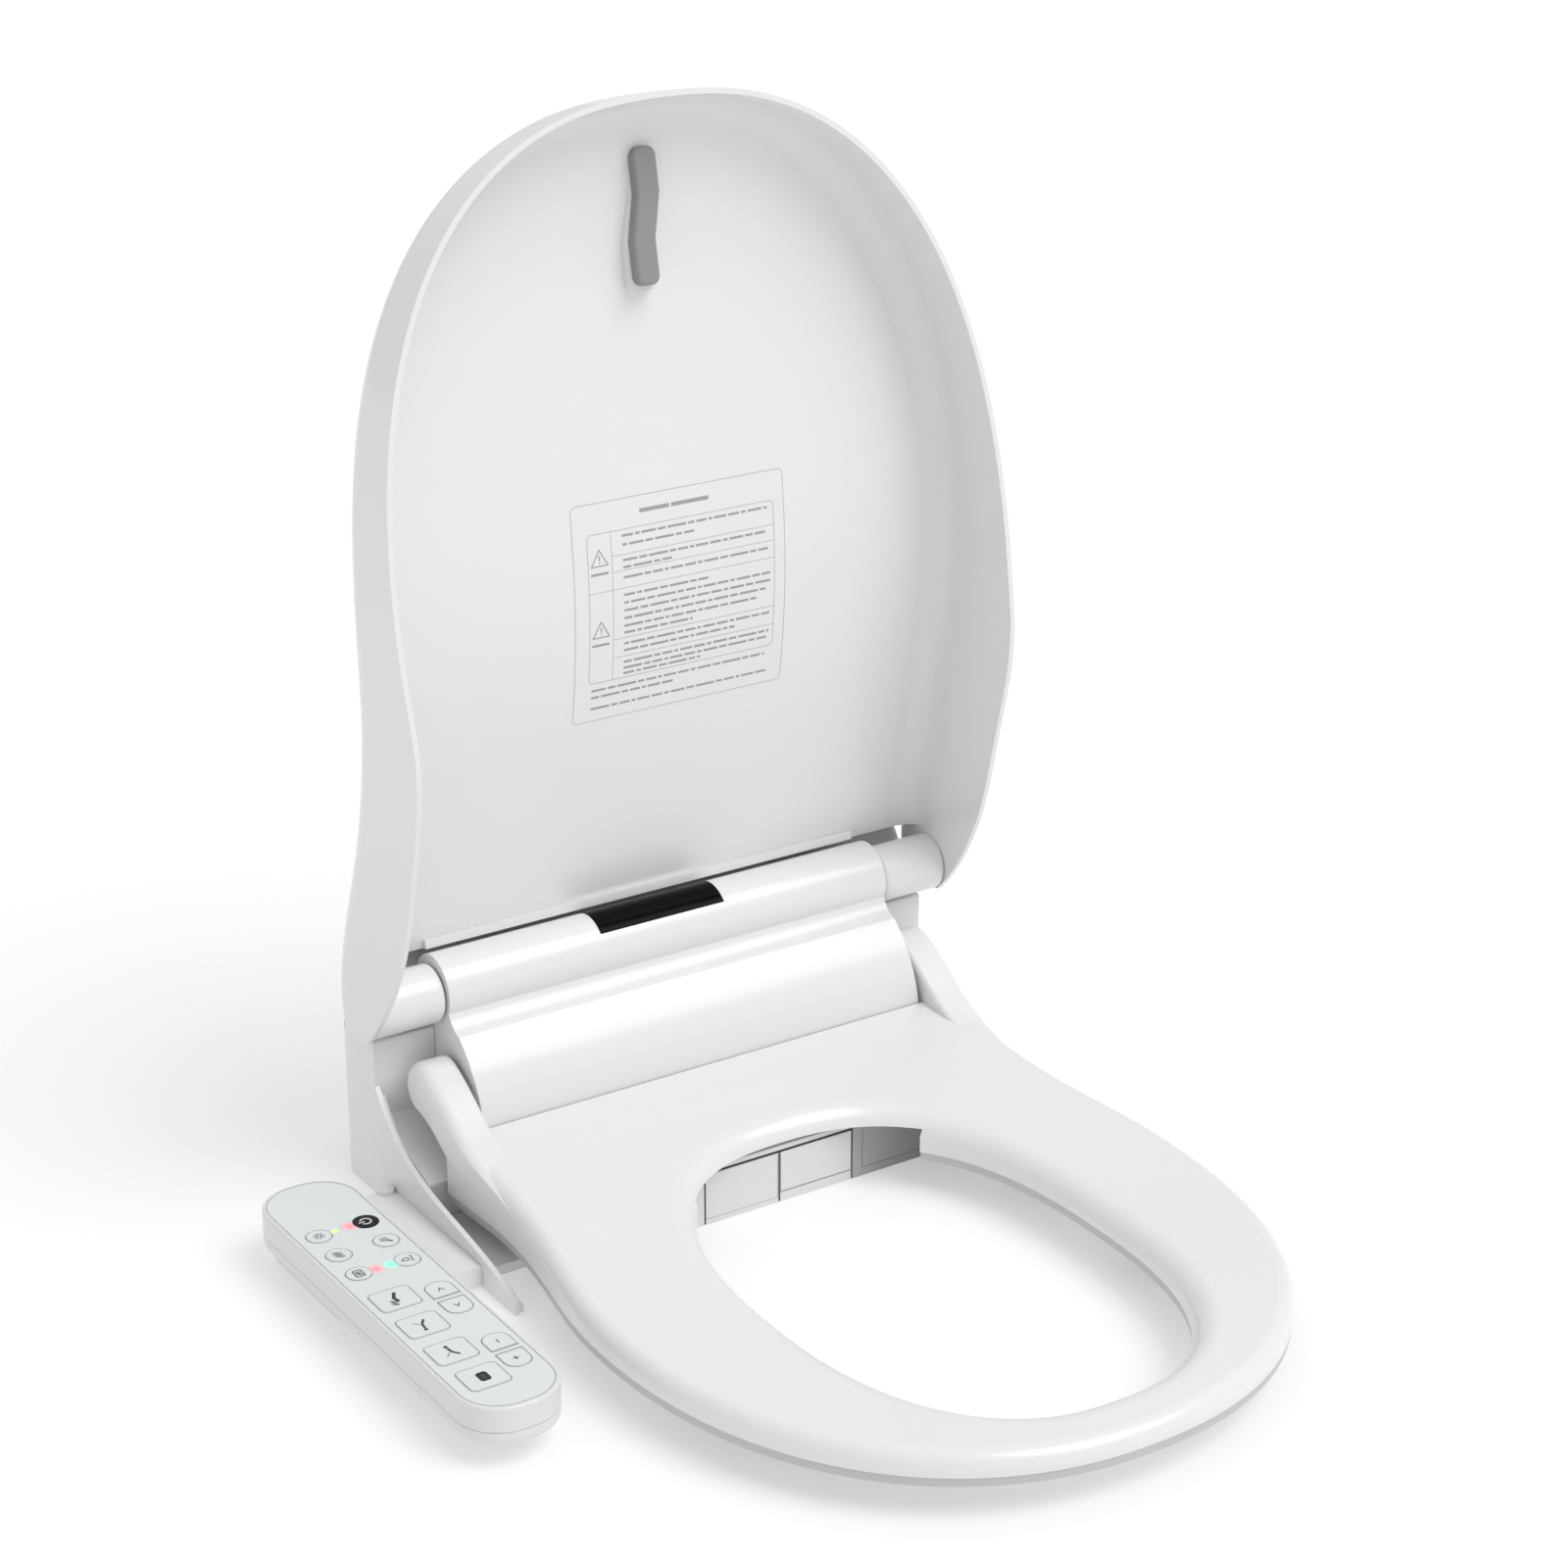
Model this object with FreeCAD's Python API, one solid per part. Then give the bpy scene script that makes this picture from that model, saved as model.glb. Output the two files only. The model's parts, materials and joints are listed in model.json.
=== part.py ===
import FreeCAD, Part
import math
import os
from FreeCAD import Vector as V

# Electric bidet seat, millimetres, +Z up.
# Origin: midway between the two mounting bolts, on the bowl's top face.
# -Y runs towards the front of the bowl, +Y towards the wall, and the
# control panel is on the -X side.

# ---- driving dimensions -------------------------------------------------
WALL = 3.0                      # moulded case wall
HOUSING_HALF = 184.5            # half width over the side covers
COVER_HALF = 146.0              # half width of the central top cover
HOUSING_REAR = 52.0             # back wall of the housing
REAR_CORNER = 16.0              # plan radius of the housing's rear corners
SHELF_Z = 92.0                  # low shelf behind the hinge
TRAY_Z = 40.0                   # joint between base and top cover
NOTCH_Y = -51.0                 # front edge of the cover's apron
NOTCH_Z = 56.0

BAY_HALF = 112.0                # nozzle bay under the seat's rear plate
BAY_FRONT = -124.0
BAY_TOP = 35.0
BAY_REAR = -46.0

LID_AXIS = V(0, 2, 118)         # lid hinge
LID_OPEN_DEG = 101.3            # from closed to the open stop
LID_HALF = 193.0
LID_LENGTH = 474.0              # hinge to front edge
LID_WIDEST = 205.0              # hinge to widest place
LID_POWER = 2.4                 # roundness of the front
LID_WAIST = 2.5
LID_REAR = -17.0                # the lid ends this far behind its hinge
LID_WALL = 3.0
BARREL_R = 17.0
BARREL_INNER = 147.0
BARREL_OUTER = 188.6
LID_PIN_R = 6.0

SEAT_AXIS = V(0, -20, 72)       # seat hinge
SEAT_HALF = 185.5
SEAT_FRONT = -461.0
SEAT_WIDEST_Y = -245.0
SEAT_POWER = 2.2
SEAT_BOTTOM = 19.0
SEAM_Z = 24.0                   # joint between the seat's two shells
SEAT_NOTCH_Y = -52.5
SEAT_WALL = 3.5
EAR_INNER = 148.5
EAR_OUTER = 171.0
EAR_R = 16.0
EAR_ROLL = 7.0                  # rounding of an ear's outer and inner flank
EAR_INNER_ROLL = 3.0
SEAT_PIN_R = 5.0
OPENING_MID_Y = -276.0          # through opening of the seat
OPENING_HALF = 103.0
OPENING_HALF_LENGTH = 150.0
OPENING_POWER = 2.5

PANEL_X0 = -275.0               # control panel on the left arm
PANEL_X1 = -219.0
PANEL_Y0 = -280.0
PANEL_Y1 = -18.0
PANEL_TOP = 36.0
PANEL_SEAM = 22.0
PANEL_BOTTOM = 13.0
PANEL_CORNER = 25.0
OVERLAY_THICK = 0.8
KEY_GAP = 0.35
KEY_BOTTOM = 33.0
KEY_PROUD = 0.2

BOLT_X = 70.0                   # half the mounting bolt spacing
BOLT_SLOT_R = 4.5
BOLT_SLOT_LENGTH = 30.0
PLATE_THICK = 3.0
BOLT_CHANNEL_HALF = 18.0        # room for the bolt heads above the plate
BOLT_CHANNEL_TOP = 11.0
SCREW_X = 165.0                 # case screws
SCREW_Y = -34.0

NOZZLE_R = 4.5
NOZZLE_X = 25.0
NOZZLE_TIP_Y = -82.0
NOZZLE_TIP_Z = 17.0
NOZZLE_LENGTH = 112.0
NOZZLE_TILT = 8.0               # degrees below level, towards the front
BORE_PLAY = 0.06                # radial play of a sliding or turning fit
DOOR_TOP_Z = 31.0
DOOR_HALF = 24.0
DOOR_THICK = 2.0
DOOR_BOTTOMS = {"rear": 3.0, "front": 6.0}

FAN_X = 74.0
FAN_Y = 15.0
FAN_Z = 46.0
FAN_R = 26.0
FAN_WIDTH = 24.0
FAN_BLADES = 18

INLET_X = -160.0
INLET_Z = 26.0
INLET_R = 10.4
INLET_LENGTH = 14.0

# ---- keys: name, centre x, centre y, kind --------------------------------
COLUMN_IN = -232.5
COLUMN_OUT = -258.5
KEYS = [
    ("key_power", COLUMN_IN, -76.0, "round"),
    ("key_eco", COLUMN_IN, -100.0, "round"),
    ("key_water_temp", COLUMN_IN, -124.0, "round"),
    ("key_light", COLUMN_OUT - 2.0, -77.0, "round"),
    ("key_clean", COLUMN_OUT - 2.0, -100.5, "round"),
    ("key_seat_temp", COLUMN_OUT - 2.0, -123.5, "round"),
    ("key_position_back", COLUMN_IN, -160.5, "cap_back"),
    ("key_position_forward", COLUMN_IN, -179.5, "cap_front"),
    ("key_pressure_less", COLUMN_IN, -221.5, "cap_back"),
    ("key_pressure_more", COLUMN_IN, -240.5, "cap_front"),
    ("key_dry", COLUMN_OUT + 2.0, -156.5, "square"),
    ("key_rear", COLUMN_OUT + 2.0, -187.0, "square"),
    ("key_front", COLUMN_OUT + 2.0, -217.5, "square"),
    ("key_stop", COLUMN_OUT + 4.0, -247.0, "square"),
]
ROUND_KEY_R = 7.0
SQUARE_KEY_X = 23.0
SQUARE_KEY_Y = 21.0
CAP_WIDTH = 15.0
CAP_LENGTH = 16.0
LED_PLACES = [(-242.0, -76.0), (-251.0, -76.5), (-242.0, -124.0), (-251.0, -124.0)]
LED_R = 1.3

X_AXIS = V(1, 0, 0)
Y_AXIS = V(0, 1, 0)
Z_AXIS = V(0, 0, 1)
os.makedirs("parts", exist_ok=True)


# ---- helpers ---------------------------------------------------------------
def save(name, shape):
    """Write one node's solids to its STEP file."""
    solids = shape.Solids
    out = solids[0] if len(solids) == 1 else Part.makeCompound(solids)
    out.exportStep(f"parts/{name}.step")
    print(f"{name}: {len(solids)} solid(s), {shape.Volume / 1000:.1f} cm3, valid {out.isValid()}")


def box(x0, x1, y0, y1, z0, z1):
    return Part.makeBox(x1 - x0, y1 - y0, z1 - z0, V(x0, y0, z0))


def rod(x, y, z, axis, radius, length):
    return Part.makeCylinder(radius, length, V(x, y, z), axis)


def slot_prism(x, y, width, length, z0, z1):
    """A vertical stadium, its length along X."""
    half = (length - width) / 2
    body = box(x - half, x + half, y - width / 2, y + width / 2, z0, z1)
    for end in (-half, half):
        body = body.fuse(rod(x + end, y, z0, Z_AXIS, width / 2, z1 - z0))
    return body.removeSplitter()


def rounded_slab(x0, x1, y0, y1, z0, z1, radius):
    """A vertical slab with rounded corners in plan."""
    body = box(x0, x1, y0, y1, z0, z1)
    upright = [e for e in body.Edges if abs(e.BoundBox.ZLength - (z1 - z0)) < 1e-6]
    return body.makeFillet(radius, upright)


def rear_rounded(x0, x1, y0, y1, z0, z1, radius):
    """A box whose two upright rear edges are rounded."""
    body = box(x0, x1, y0, y1, z0, z1)
    upright = [e for e in body.Edges if abs(e.BoundBox.ZLength - (z1 - z0)) < 1e-6
               and e.BoundBox.YMin > y1 - 1e-6]
    return body.makeFillet(radius, upright)


def side_wire(items):
    """A closed wire in the YZ plane. A pair is a corner; a list of pairs
    is a smooth curve through them; ("arc", through, end) is an arc."""
    edges = []
    here = None
    first = None
    for item in items:
        if isinstance(item, list):
            points = [V(0, y, z) for y, z in item]
            if here is None:
                first = points[0]
            elif not here.isEqual(points[0], 1e-7):
                edges.append(Part.LineSegment(here, points[0]).toShape())
            curve = Part.BSplineCurve()
            curve.interpolate(points)
            edges.append(curve.toShape())
            here = points[-1]
        elif item[0] == "arc":
            through = V(0, *item[1])
            end = V(0, *item[2])
            edges.append(Part.Arc(here, through, end).toShape())
            here = end
        else:
            point = V(0, *item)
            if here is None:
                first = point
            else:
                edges.append(Part.LineSegment(here, point).toShape())
            here = point
    if not here.isEqual(first, 1e-7):
        edges.append(Part.LineSegment(here, first).toShape())
    return Part.Wire(edges)


def side_slab(items, x0, x1):
    """A side profile, given as for side_wire, pulled along X."""
    face = Part.Face(side_wire(items))
    slab = face.extrude(V(x1 - x0, 0, 0))
    slab.translate(V(x0, 0, 0))
    return slab


def round_over(shape, choose, radii):
    """Round the chosen edges with the first radius that gives a sound solid."""
    edges = [e for e in shape.Edges if choose(e)]
    for radius in radii:
        try:
            out = shape.makeFillet(radius, edges)
        except Exception:
            continue
        if out.isValid() and len(out.Solids) == 1 and out.Volume > 0:
            return out
    print("left sharp:", len(edges), "edges")
    return shape


def mirrored(shape):
    return shape.mirror(V(0, 0, 0), X_AXIS)


def opened(shape):
    """Turn a lid piece from its closed place to the open one."""
    out = shape.copy()
    out.rotate(LID_AXIS, X_AXIS, -LID_OPEN_DEG)
    return out


# ---- outlines in plan --------------------------------------------------------
def front_curve(half, length, power, inset, count):
    """Points of a rounded front, from the widest place (right) to the tip,
    as offsets (x, distance in front of the widest place)."""
    out = []
    for i in range(count + 1):
        t = math.pi / 2 * i / count
        x = (half - inset) * math.cos(t) ** (2 / power) if i < count else 0.0
        d = (length - inset) * math.sin(t) ** (2 / power)
        out.append((x, d))
    return out


def d_shape(right_side, z0, z1):
    """A slab bounded by a smooth curve round the front and a straight rear.
    right_side lists (x, y) from the rear corner to the tip at x = 0."""
    left_side = [(-x, y) for x, y in reversed(right_side[:-1])]
    points = [V(x, y, z0) for x, y in right_side + left_side]
    curve = Part.BSplineCurve()
    curve.interpolate(points)
    rear = Part.LineSegment(points[-1], points[0]).toShape()
    face = Part.Face(Part.Wire([curve.toShape(), rear]))
    return face.extrude(V(0, 0, z1 - z0))


# half widths of the seat from its rear to the widest place
SEAT_SIDE = [(171, 4), (171, -36), (169.8, -72), (168.5, -108), (171.5, -146), (178.5, -184), (183.8, -216)]


def seat_slab(inset, z0, z1):
    side = [(x - inset, y) for x, y in SEAT_SIDE]
    length = SEAT_WIDEST_Y - SEAT_FRONT
    for x, d in front_curve(SEAT_HALF, length, SEAT_POWER, inset, 9):
        side.append((x, SEAT_WIDEST_Y - d))
    return d_shape(side, z0, z1)


def opening_slab(grow, z0, z1):
    count = 32
    points = []
    for i in range(count):
        t = 2 * math.pi * i / count
        c = math.copysign(abs(math.cos(t)) ** (2 / OPENING_POWER), math.cos(t))
        s = math.copysign(abs(math.sin(t)) ** (2 / OPENING_POWER), math.sin(t))
        x = (OPENING_HALF + grow) * c
        y = OPENING_MID_Y + (OPENING_HALF_LENGTH + grow) * s
        points.append(V(x, y, z0))
    curve = Part.BSplineCurve()
    curve.interpolate(Points=points, PeriodicFlag=True)
    return Part.Face(Part.Wire(curve.toShape())).extrude(V(0, 0, z1 - z0))


def lid_slab(inset, z0, z1, rear=LID_REAR):
    """The lid's outline, closed. Distances run forward from the hinge."""
    steps = 6
    side = []
    for i in range(steps):
        s = rear + (LID_WIDEST - rear) * i / steps
        waist = LID_WAIST * math.sin(math.pi * (LID_WIDEST - s) / (LID_WIDEST - LID_REAR))
        side.append((LID_HALF - waist - inset, LID_AXIS.y - s))
    for x, d in front_curve(LID_HALF, LID_LENGTH - LID_WIDEST, LID_POWER, inset, 9):
        side.append((x, LID_AXIS.y - LID_WIDEST - d))
    return d_shape(side, z0, z1)


# ---- housing ---------------------------------------------------------------
# top line of the sloping deck between the cover and the fairing, rear to front
DECK = [(4.5, 50), (-18, 38), (BAY_REAR - 0.3, 28)]


def housing_base():
    """Open tray with the nozzle bay reaching forward under the seat."""
    outer = rear_rounded(-178, 178, BAY_REAR, HOUSING_REAR, 0, TRAY_Z, 12)
    bay = box(-BAY_HALF, BAY_HALF, BAY_FRONT + 3, BAY_REAR + 1, 0, BAY_TOP)
    body = outer.fuse(bay)
    inner = rear_rounded(-175, 175, BAY_REAR + WALL, HOUSING_REAR - WALL, 4.2, TRAY_Z + 1, 9)
    hollow = box(-BAY_HALF + WALL, BAY_HALF - WALL, BAY_FRONT, BAY_REAR + WALL + 1, 3, BAY_TOP - 2.5)
    body = body.cut(inner).cut(hollow)
    # ribs under the cover's flanks, and room for the side covers' sloping decks
    slope = side_slab([(y, z - 2.8) for y, z in DECK] + [(BAY_REAR - 1, 70), (4.5, 70)], COVER_HALF, 180)
    for part in (slope, mirrored(slope)):
        body = body.cut(part)
    for x in (-COVER_HALF, COVER_HALF - 3):
        body = body.fuse(box(x, x + 3, BAY_REAR + 1, 3, 4, TRAY_Z))
    # underside pocket that slides over the mounting plate
    for x in (-BOLT_X, BOLT_X):
        half = BOLT_CHANNEL_HALF
        body = body.fuse(box(x - half - 2, x + half + 2, -22, HOUSING_REAR - 1, 4, BOLT_CHANNEL_TOP + 2))
    body = body.cut(box(-104, 104, -28, HOUSING_REAR + 1, -1, PLATE_THICK + 0.3))
    for x in (-BOLT_X, BOLT_X):
        body = body.cut(box(x - half, x + half, -20, HOUSING_REAR + 1, -1, BOLT_CHANNEL_TOP))
    for x in (-SCREW_X, SCREW_X):
        body = body.fuse(rod(x, SCREW_Y, 4, Z_AXIS, 5, 12)).cut(rod(x, SCREW_Y, 6, Z_AXIS, 1.4, 20))
    # rear passages for the water inlet and the supply lead, side one for the button
    body = body.cut(rod(INLET_X, HOUSING_REAR - 5, INLET_Z, Y_AXIS, 12.6, 10))
    body = body.cut(rod(150, HOUSING_REAR - 5, 24, Y_AXIS, 6.1, 10))
    body = body.cut(box(170, 180, 9.5, 30.5, 4.5, 13.5))
    return body.removeSplitter()


def cover_profile():
    roll = V(0, 4, 119)
    radius = 20.0
    a = math.radians(205)
    valley_in = (roll.y + radius * math.cos(a), roll.z + radius * math.sin(a))
    rear = HOUSING_REAR
    return [
        (rear, TRAY_Z + 0.2),
        (rear, SHELF_Z - 6),
        ("arc", (rear - 1.8, SHELF_Z - 1.8), (rear - 6, SHELF_Z)),
        (26, SHELF_Z),
        ("arc", (24.6, SHELF_Z + 0.6), (24, SHELF_Z + 2)),
        (24, roll.z),
        ("arc", (roll.y, roll.z + radius), valley_in),
        ("arc", (-18.6, 104.0), (-25, 100.5)),
        ("arc", (-42, 80.5), (NOTCH_Y, NOTCH_Z)),
        (NOTCH_Y, TRAY_Z + 0.2),
    ]


def housing_top_cover():
    """Central cover: hinge roll, valley and apron over the seat's notch."""
    wire = side_wire(cover_profile())
    solid = side_slab(cover_profile(), -COVER_HALF, COVER_HALF)
    inner_wire = wire.makeOffset2D(-WALL)
    cavity = Part.Face(inner_wire).extrude(V(2 * (COVER_HALF - WALL), 0, 0))
    cavity.translate(V(-COVER_HALF + WALL, 0, 0))
    half = COVER_HALF - WALL
    mouth = box(-half, half, NOTCH_Y + WALL, HOUSING_REAR - WALL, TRAY_Z - 1, TRAY_Z + WALL + 1)
    body = solid.cut(cavity).cut(mouth)
    for side in (-1, 1):
        x = side * COVER_HALF - 5
        body = body.cut(rod(x, LID_AXIS.y, LID_AXIS.z, X_AXIS, LID_PIN_R + 0.02, 10))
        body = body.cut(rod(x, SEAT_AXIS.y, SEAT_AXIS.z, X_AXIS, SEAT_PIN_R + 0.02, 10))
    return body.cut(window_block(0.25))


def window_block(grow):
    """The curved band of the hinge roll that the sensor window fills."""
    block = side_slab([(14.5, 144), (14.5, 128), (-10.5, 128), (-10.5, 144)], -46 - grow, 36 + grow)
    band = rod(-60, 4, 119, X_AXIS, 20.4, 120).cut(rod(-60, 4, 119, X_AXIS, 16.8, 120))
    return block.common(band)


def sensor_window():
    return window_block(0.0)


def side_cover():
    """Right-hand tower and the fairing that sweeps forward beside the seat."""
    out = HOUSING_HALF
    inner = COVER_HALF + 0.3
    step = 178.5
    rear = HOUSING_REAR
    edge = [(22, 95), (2, 66), (-18, 45), (-70, 26), (-146, 9)]
    tower = side_slab(
        [(rear, 0), (rear, SHELF_Z - 6), ("arc", (rear - 1.8, SHELF_Z - 1.8), (rear - 6, SHELF_Z)),
         (24, SHELF_Z), (22, 96), (6, 96), ("arc", (4.6, 95.4), (4, 94)), (4, TRAY_Z), (4, 0)],
        inner, out)
    tower = tower.common(rear_rounded(-out, out, -10, rear, -1, 120, REAR_CORNER))
    hollow = box(inner - 1, out - WALL, 4 + WALL, rear - WALL, -1, SHELF_Z - WALL)
    hollow = hollow.common(
        rear_rounded(WALL - out, out - WALL, -10, rear - WALL, -2, 120, REAR_CORNER - WALL))
    wall = side_slab([(24, 0), edge, ("arc", (-150, 7.4), (-151.5, 4)), (-151.5, 0)], step + 3, out)
    low_edge = [(y, max(z - 6, 4.5)) for y, z in edge]
    ledge = side_slab([(24, 0), low_edge, (-150, 4), (-150, 0)], step, step + 3.5)
    foot = box(140, step + 1, -110, BAY_REAR - 0.5, 0, 6)
    body = tower.cut(hollow).fuse(wall).fuse(ledge).fuse(foot)
    # room for the base tray
    body = body.cut(box(0, 178.3, BAY_REAR - 0.3, rear + 1, -1, TRAY_Z + 0.2))
    under = [(y, z - 2.6) for y, z in reversed(DECK)]
    deck = side_slab([DECK[0]] + DECK[1:] + under, inner, step + 0.5)
    return body.fuse(deck).removeSplitter()


def panel_cable_hole():
    """Passage from the panel arm into the left side cover."""
    return rod(-190, -14, 7, X_AXIS, 3.5, 14)


def mounting_plate():
    body = rounded_slab(-100, 100, -24, 30, 0, PLATE_THICK, 8)
    for x in (-BOLT_X, BOLT_X):
        body = body.cut(slot_prism(x, 0, 2 * BOLT_SLOT_R, BOLT_SLOT_LENGTH, -1, PLATE_THICK + 1))
    return body.cut(box(88, 101, 16, 24, -1, PLATE_THICK + 1))


def nozzle_fascia():
    """Front wall of the bay, with two nozzle doorways and a dryer outlet."""
    front = BAY_FRONT
    body = box(-BAY_HALF, BAY_HALF, front, front + 2.8, 0, BAY_TOP)
    for name, side in (("rear", -1), ("front", 1)):
        low = DOOR_BOTTOMS[name]
        x = side * (DOOR_HALF + 0.8)
        body = body.cut(box(x - DOOR_HALF, x + DOOR_HALF, front - 1, front + 4, low, DOOR_TOP_Z + 0.4))
    body = body.cut(box(56, 98, front - 1, front + 4, 5, DOOR_TOP_Z + 0.4))
    pin_bore = V(0, front + DOOR_THICK / 2, DOOR_TOP_Z - DOOR_THICK / 2)
    for x, length in ((-50, 100), (54.8, 44.6)):
        body = body.cut(rod(x, pin_bore.y, pin_bore.z, X_AXIS, 0.86, length))
    return body.removeSplitter()


def door(x0, x1, low):
    """Top-hung flap with its pins, its top edge rounded about them."""
    y = BAY_FRONT + DOOR_THICK / 2
    z = DOOR_TOP_Z - DOOR_THICK / 2
    leaf = box(x0, x1, BAY_FRONT, BAY_FRONT + DOOR_THICK, low, z)
    crown = rod(x0, y, z, X_AXIS, DOOR_THICK / 2, x1 - x0)
    pin = rod(x0 - 0.8, y, z, X_AXIS, 0.8, x1 - x0 + 1.6)
    return leaf.fuse(crown).fuse(pin).removeSplitter()


# ---- water, air and electrics ------------------------------------------------
def tilted(shape):
    """Tip a level nozzle piece about the nozzle tip's place."""
    out = shape.copy()
    out.rotate(V(0, NOZZLE_TIP_Y, NOZZLE_TIP_Z), X_AXIS, NOZZLE_TILT)
    return out


def nozzle(x, front_wash):
    y = NOZZLE_TIP_Y
    z = NOZZLE_TIP_Z
    tube = rod(x, y + 3, z, Y_AXIS, NOZZLE_R, NOZZLE_LENGTH - 3)
    tip = rod(x, y, z, Y_AXIS, NOZZLE_R - 0.8, 4)
    body = tube.fuse(tip)
    flat = box(x - 3, x + 3, y + 2, y + 18, z + NOZZLE_R - 0.7, z + NOZZLE_R + 1)
    body = body.cut(flat)
    for i in range(4 if front_wash else 1):
        body = body.cut(rod(x, y + 8 + 2.6 * i, z, Z_AXIS, 0.7, 8))
    rack = box(x - 1.2, x + 1.2, y + 60, y + NOZZLE_LENGTH, z - NOZZLE_R - 1.6, z - NOZZLE_R + 1)
    return tilted(body.fuse(rack).removeSplitter())


def nozzle_cradle():
    y = NOZZLE_TIP_Y
    z = NOZZLE_TIP_Z
    body = box(-40, 40, y + 20, y + 58, z - 8, z + 8)
    for x in (-NOZZLE_X, NOZZLE_X):
        body = body.cut(rod(x, y + 10, z, Y_AXIS, NOZZLE_R + BORE_PLAY, 60))
        body = body.cut(box(x - 1.8, x + 1.8, y + 10, y + 70, z - NOZZLE_R - 2.4, z))
    body = body.cut(box(-14, 14, y + 28, y + 50, z - 9, z + 4))
    return tilted(body.removeSplitter())


def nozzle_motors():
    """Two small stepper motors with pinions beside the nozzle racks."""
    solids = []
    for x in (-NOZZLE_X, NOZZLE_X):
        side = 1 if x > 0 else -1
        can = rod(x + side * 7, 20, 22, X_AXIS * side, 11, 16)
        shaft = rod(x - side * 1.5, 20, 22, X_AXIS * side, 1.5, 9)
        solids.append(can.fuse(shaft))
    return Part.makeCompound(solids)


def water_heater_tank():
    body = rounded_slab(-138, -62, 2, 45, 14, 82, 9)
    top = [e for e in body.Edges if e.BoundBox.ZMin > 81.9]
    body = body.makeFillet(4, top)
    for x in (-122, -78):
        body = body.fuse(rod(x, 20, 80, Z_AXIS, 5, 8)).cut(rod(x, 20, 76, Z_AXIS, 2.8, 14))
    return body


def main_board():
    body = box(-44, 44, 46, 47.6, 12, 84)
    parts = ((-30, 24, 18, 20, 12), (0, 60, 24, 14, 9), (28, 30, 14, 22, 7), (-24, 66, 12, 8, 6))
    for x, z, w, h, t in parts:
        body = body.fuse(box(x - w / 2, x + w / 2, 46 - t, 46.5, z - h / 2, z + h / 2))
    return body.removeSplitter()


def power_module():
    body = rounded_slab(108, 142, -40, -14, 6, 34, 4)
    return body.fuse(box(118, 130, -14.5, -9, 12, 28))


def fan_housing():
    body = rod(FAN_X, FAN_Y, FAN_Z, X_AXIS, FAN_R + 6, FAN_WIDTH + 6)
    spout = box(FAN_X, FAN_X + FAN_WIDTH + 6, -34, FAN_Y, FAN_Z - FAN_R - 6, FAN_Z - FAN_R + 12)
    body = body.fuse(spout)
    chamber = rod(FAN_X + 2, FAN_Y, FAN_Z, X_AXIS, FAN_R + 3.5, FAN_WIDTH + 2)
    bore = box(FAN_X + 2, FAN_X + FAN_WIDTH + 4, -36, FAN_Y, FAN_Z - FAN_R - 3.5, FAN_Z - FAN_R + 9.5)
    intake = rod(FAN_X - 1, FAN_Y, FAN_Z, X_AXIS, 16, 4)
    shaft_hole = rod(FAN_X + FAN_WIDTH, FAN_Y, FAN_Z, X_AXIS, 3, 10)
    return body.cut(chamber).cut(bore).cut(intake).cut(shaft_hole).removeSplitter()


def fan_wheel():
    x = FAN_X + 4
    back = rod(x + FAN_WIDTH - 6, FAN_Y, FAN_Z, X_AXIS, FAN_R, 2)
    rim = rod(x, FAN_Y, FAN_Z, X_AXIS, FAN_R, 1.6).cut(rod(x - 1, FAN_Y, FAN_Z, X_AXIS, FAN_R - 5, 4))
    hub = rod(x + 6, FAN_Y, FAN_Z, X_AXIS, 5, FAN_WIDTH - 6).cut(
        rod(x + 5, FAN_Y, FAN_Z, X_AXIS, 1.5 + BORE_PLAY, FAN_WIDTH))
    body = back.cut(rod(x, FAN_Y, FAN_Z, X_AXIS, 1.5 + BORE_PLAY, FAN_WIDTH)).fuse(rim).fuse(hub)
    blades = []
    for i in range(FAN_BLADES):
        top = FAN_Z + FAN_R - 0.5
        blade = box(x + 1, x + FAN_WIDTH - 5, FAN_Y - 0.6, FAN_Y + 0.6, top - 4, top)
        blade.rotate(V(x, FAN_Y, FAN_Z), X_AXIS, 360 / FAN_BLADES * (i + 0.37))
        blades.append(blade)
    return body.fuse(blades)


def fan_motor():
    x = FAN_X + FAN_WIDTH + 6
    can = rod(x, FAN_Y, FAN_Z, X_AXIS, 12, 18)
    shaft = rod(x - 20, FAN_Y, FAN_Z, X_AXIS, 1.5, 21)
    return can.fuse(shaft)


def dryer_duct():
    """Square duct from the fan's spout to the dryer outlet."""
    spout_low = FAN_Z - FAN_R - 6
    body = box(58, 104, BAY_FRONT + 8, -35, 8, 32)
    body = body.cut(box(60, 102, BAY_FRONT + 7, -37, 10, 30))
    return body.cut(box(FAN_X + 2, 102, -38, -34, spout_low + 2.5, 29.5))


def dryer_heater():
    """Mica frame with heating bars inside the duct."""
    frame = box(60, 102, -96, -94, 10, 30).cut(box(65, 97, -97, -93, 13.5, 26.5))
    rear = frame.copy()
    rear.translate(V(0, 26, 0))
    body = frame.fuse(rear)
    for i in range(6):
        for z in (12, 28):
            body = body.fuse(rod(66 + 6 * i, -95, z, Y_AXIS, 0.9, 26))
    return body.removeSplitter()


def solenoid_valve():
    body = rounded_slab(-172, -148, 14, 40, 12, 40, 3)
    coil = rod(-160, 27, 40, Z_AXIS, 10, 22)
    return body.fuse(coil).cut(rod(INLET_X, 30, INLET_Z, Y_AXIS, 6.1, 20))


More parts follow.
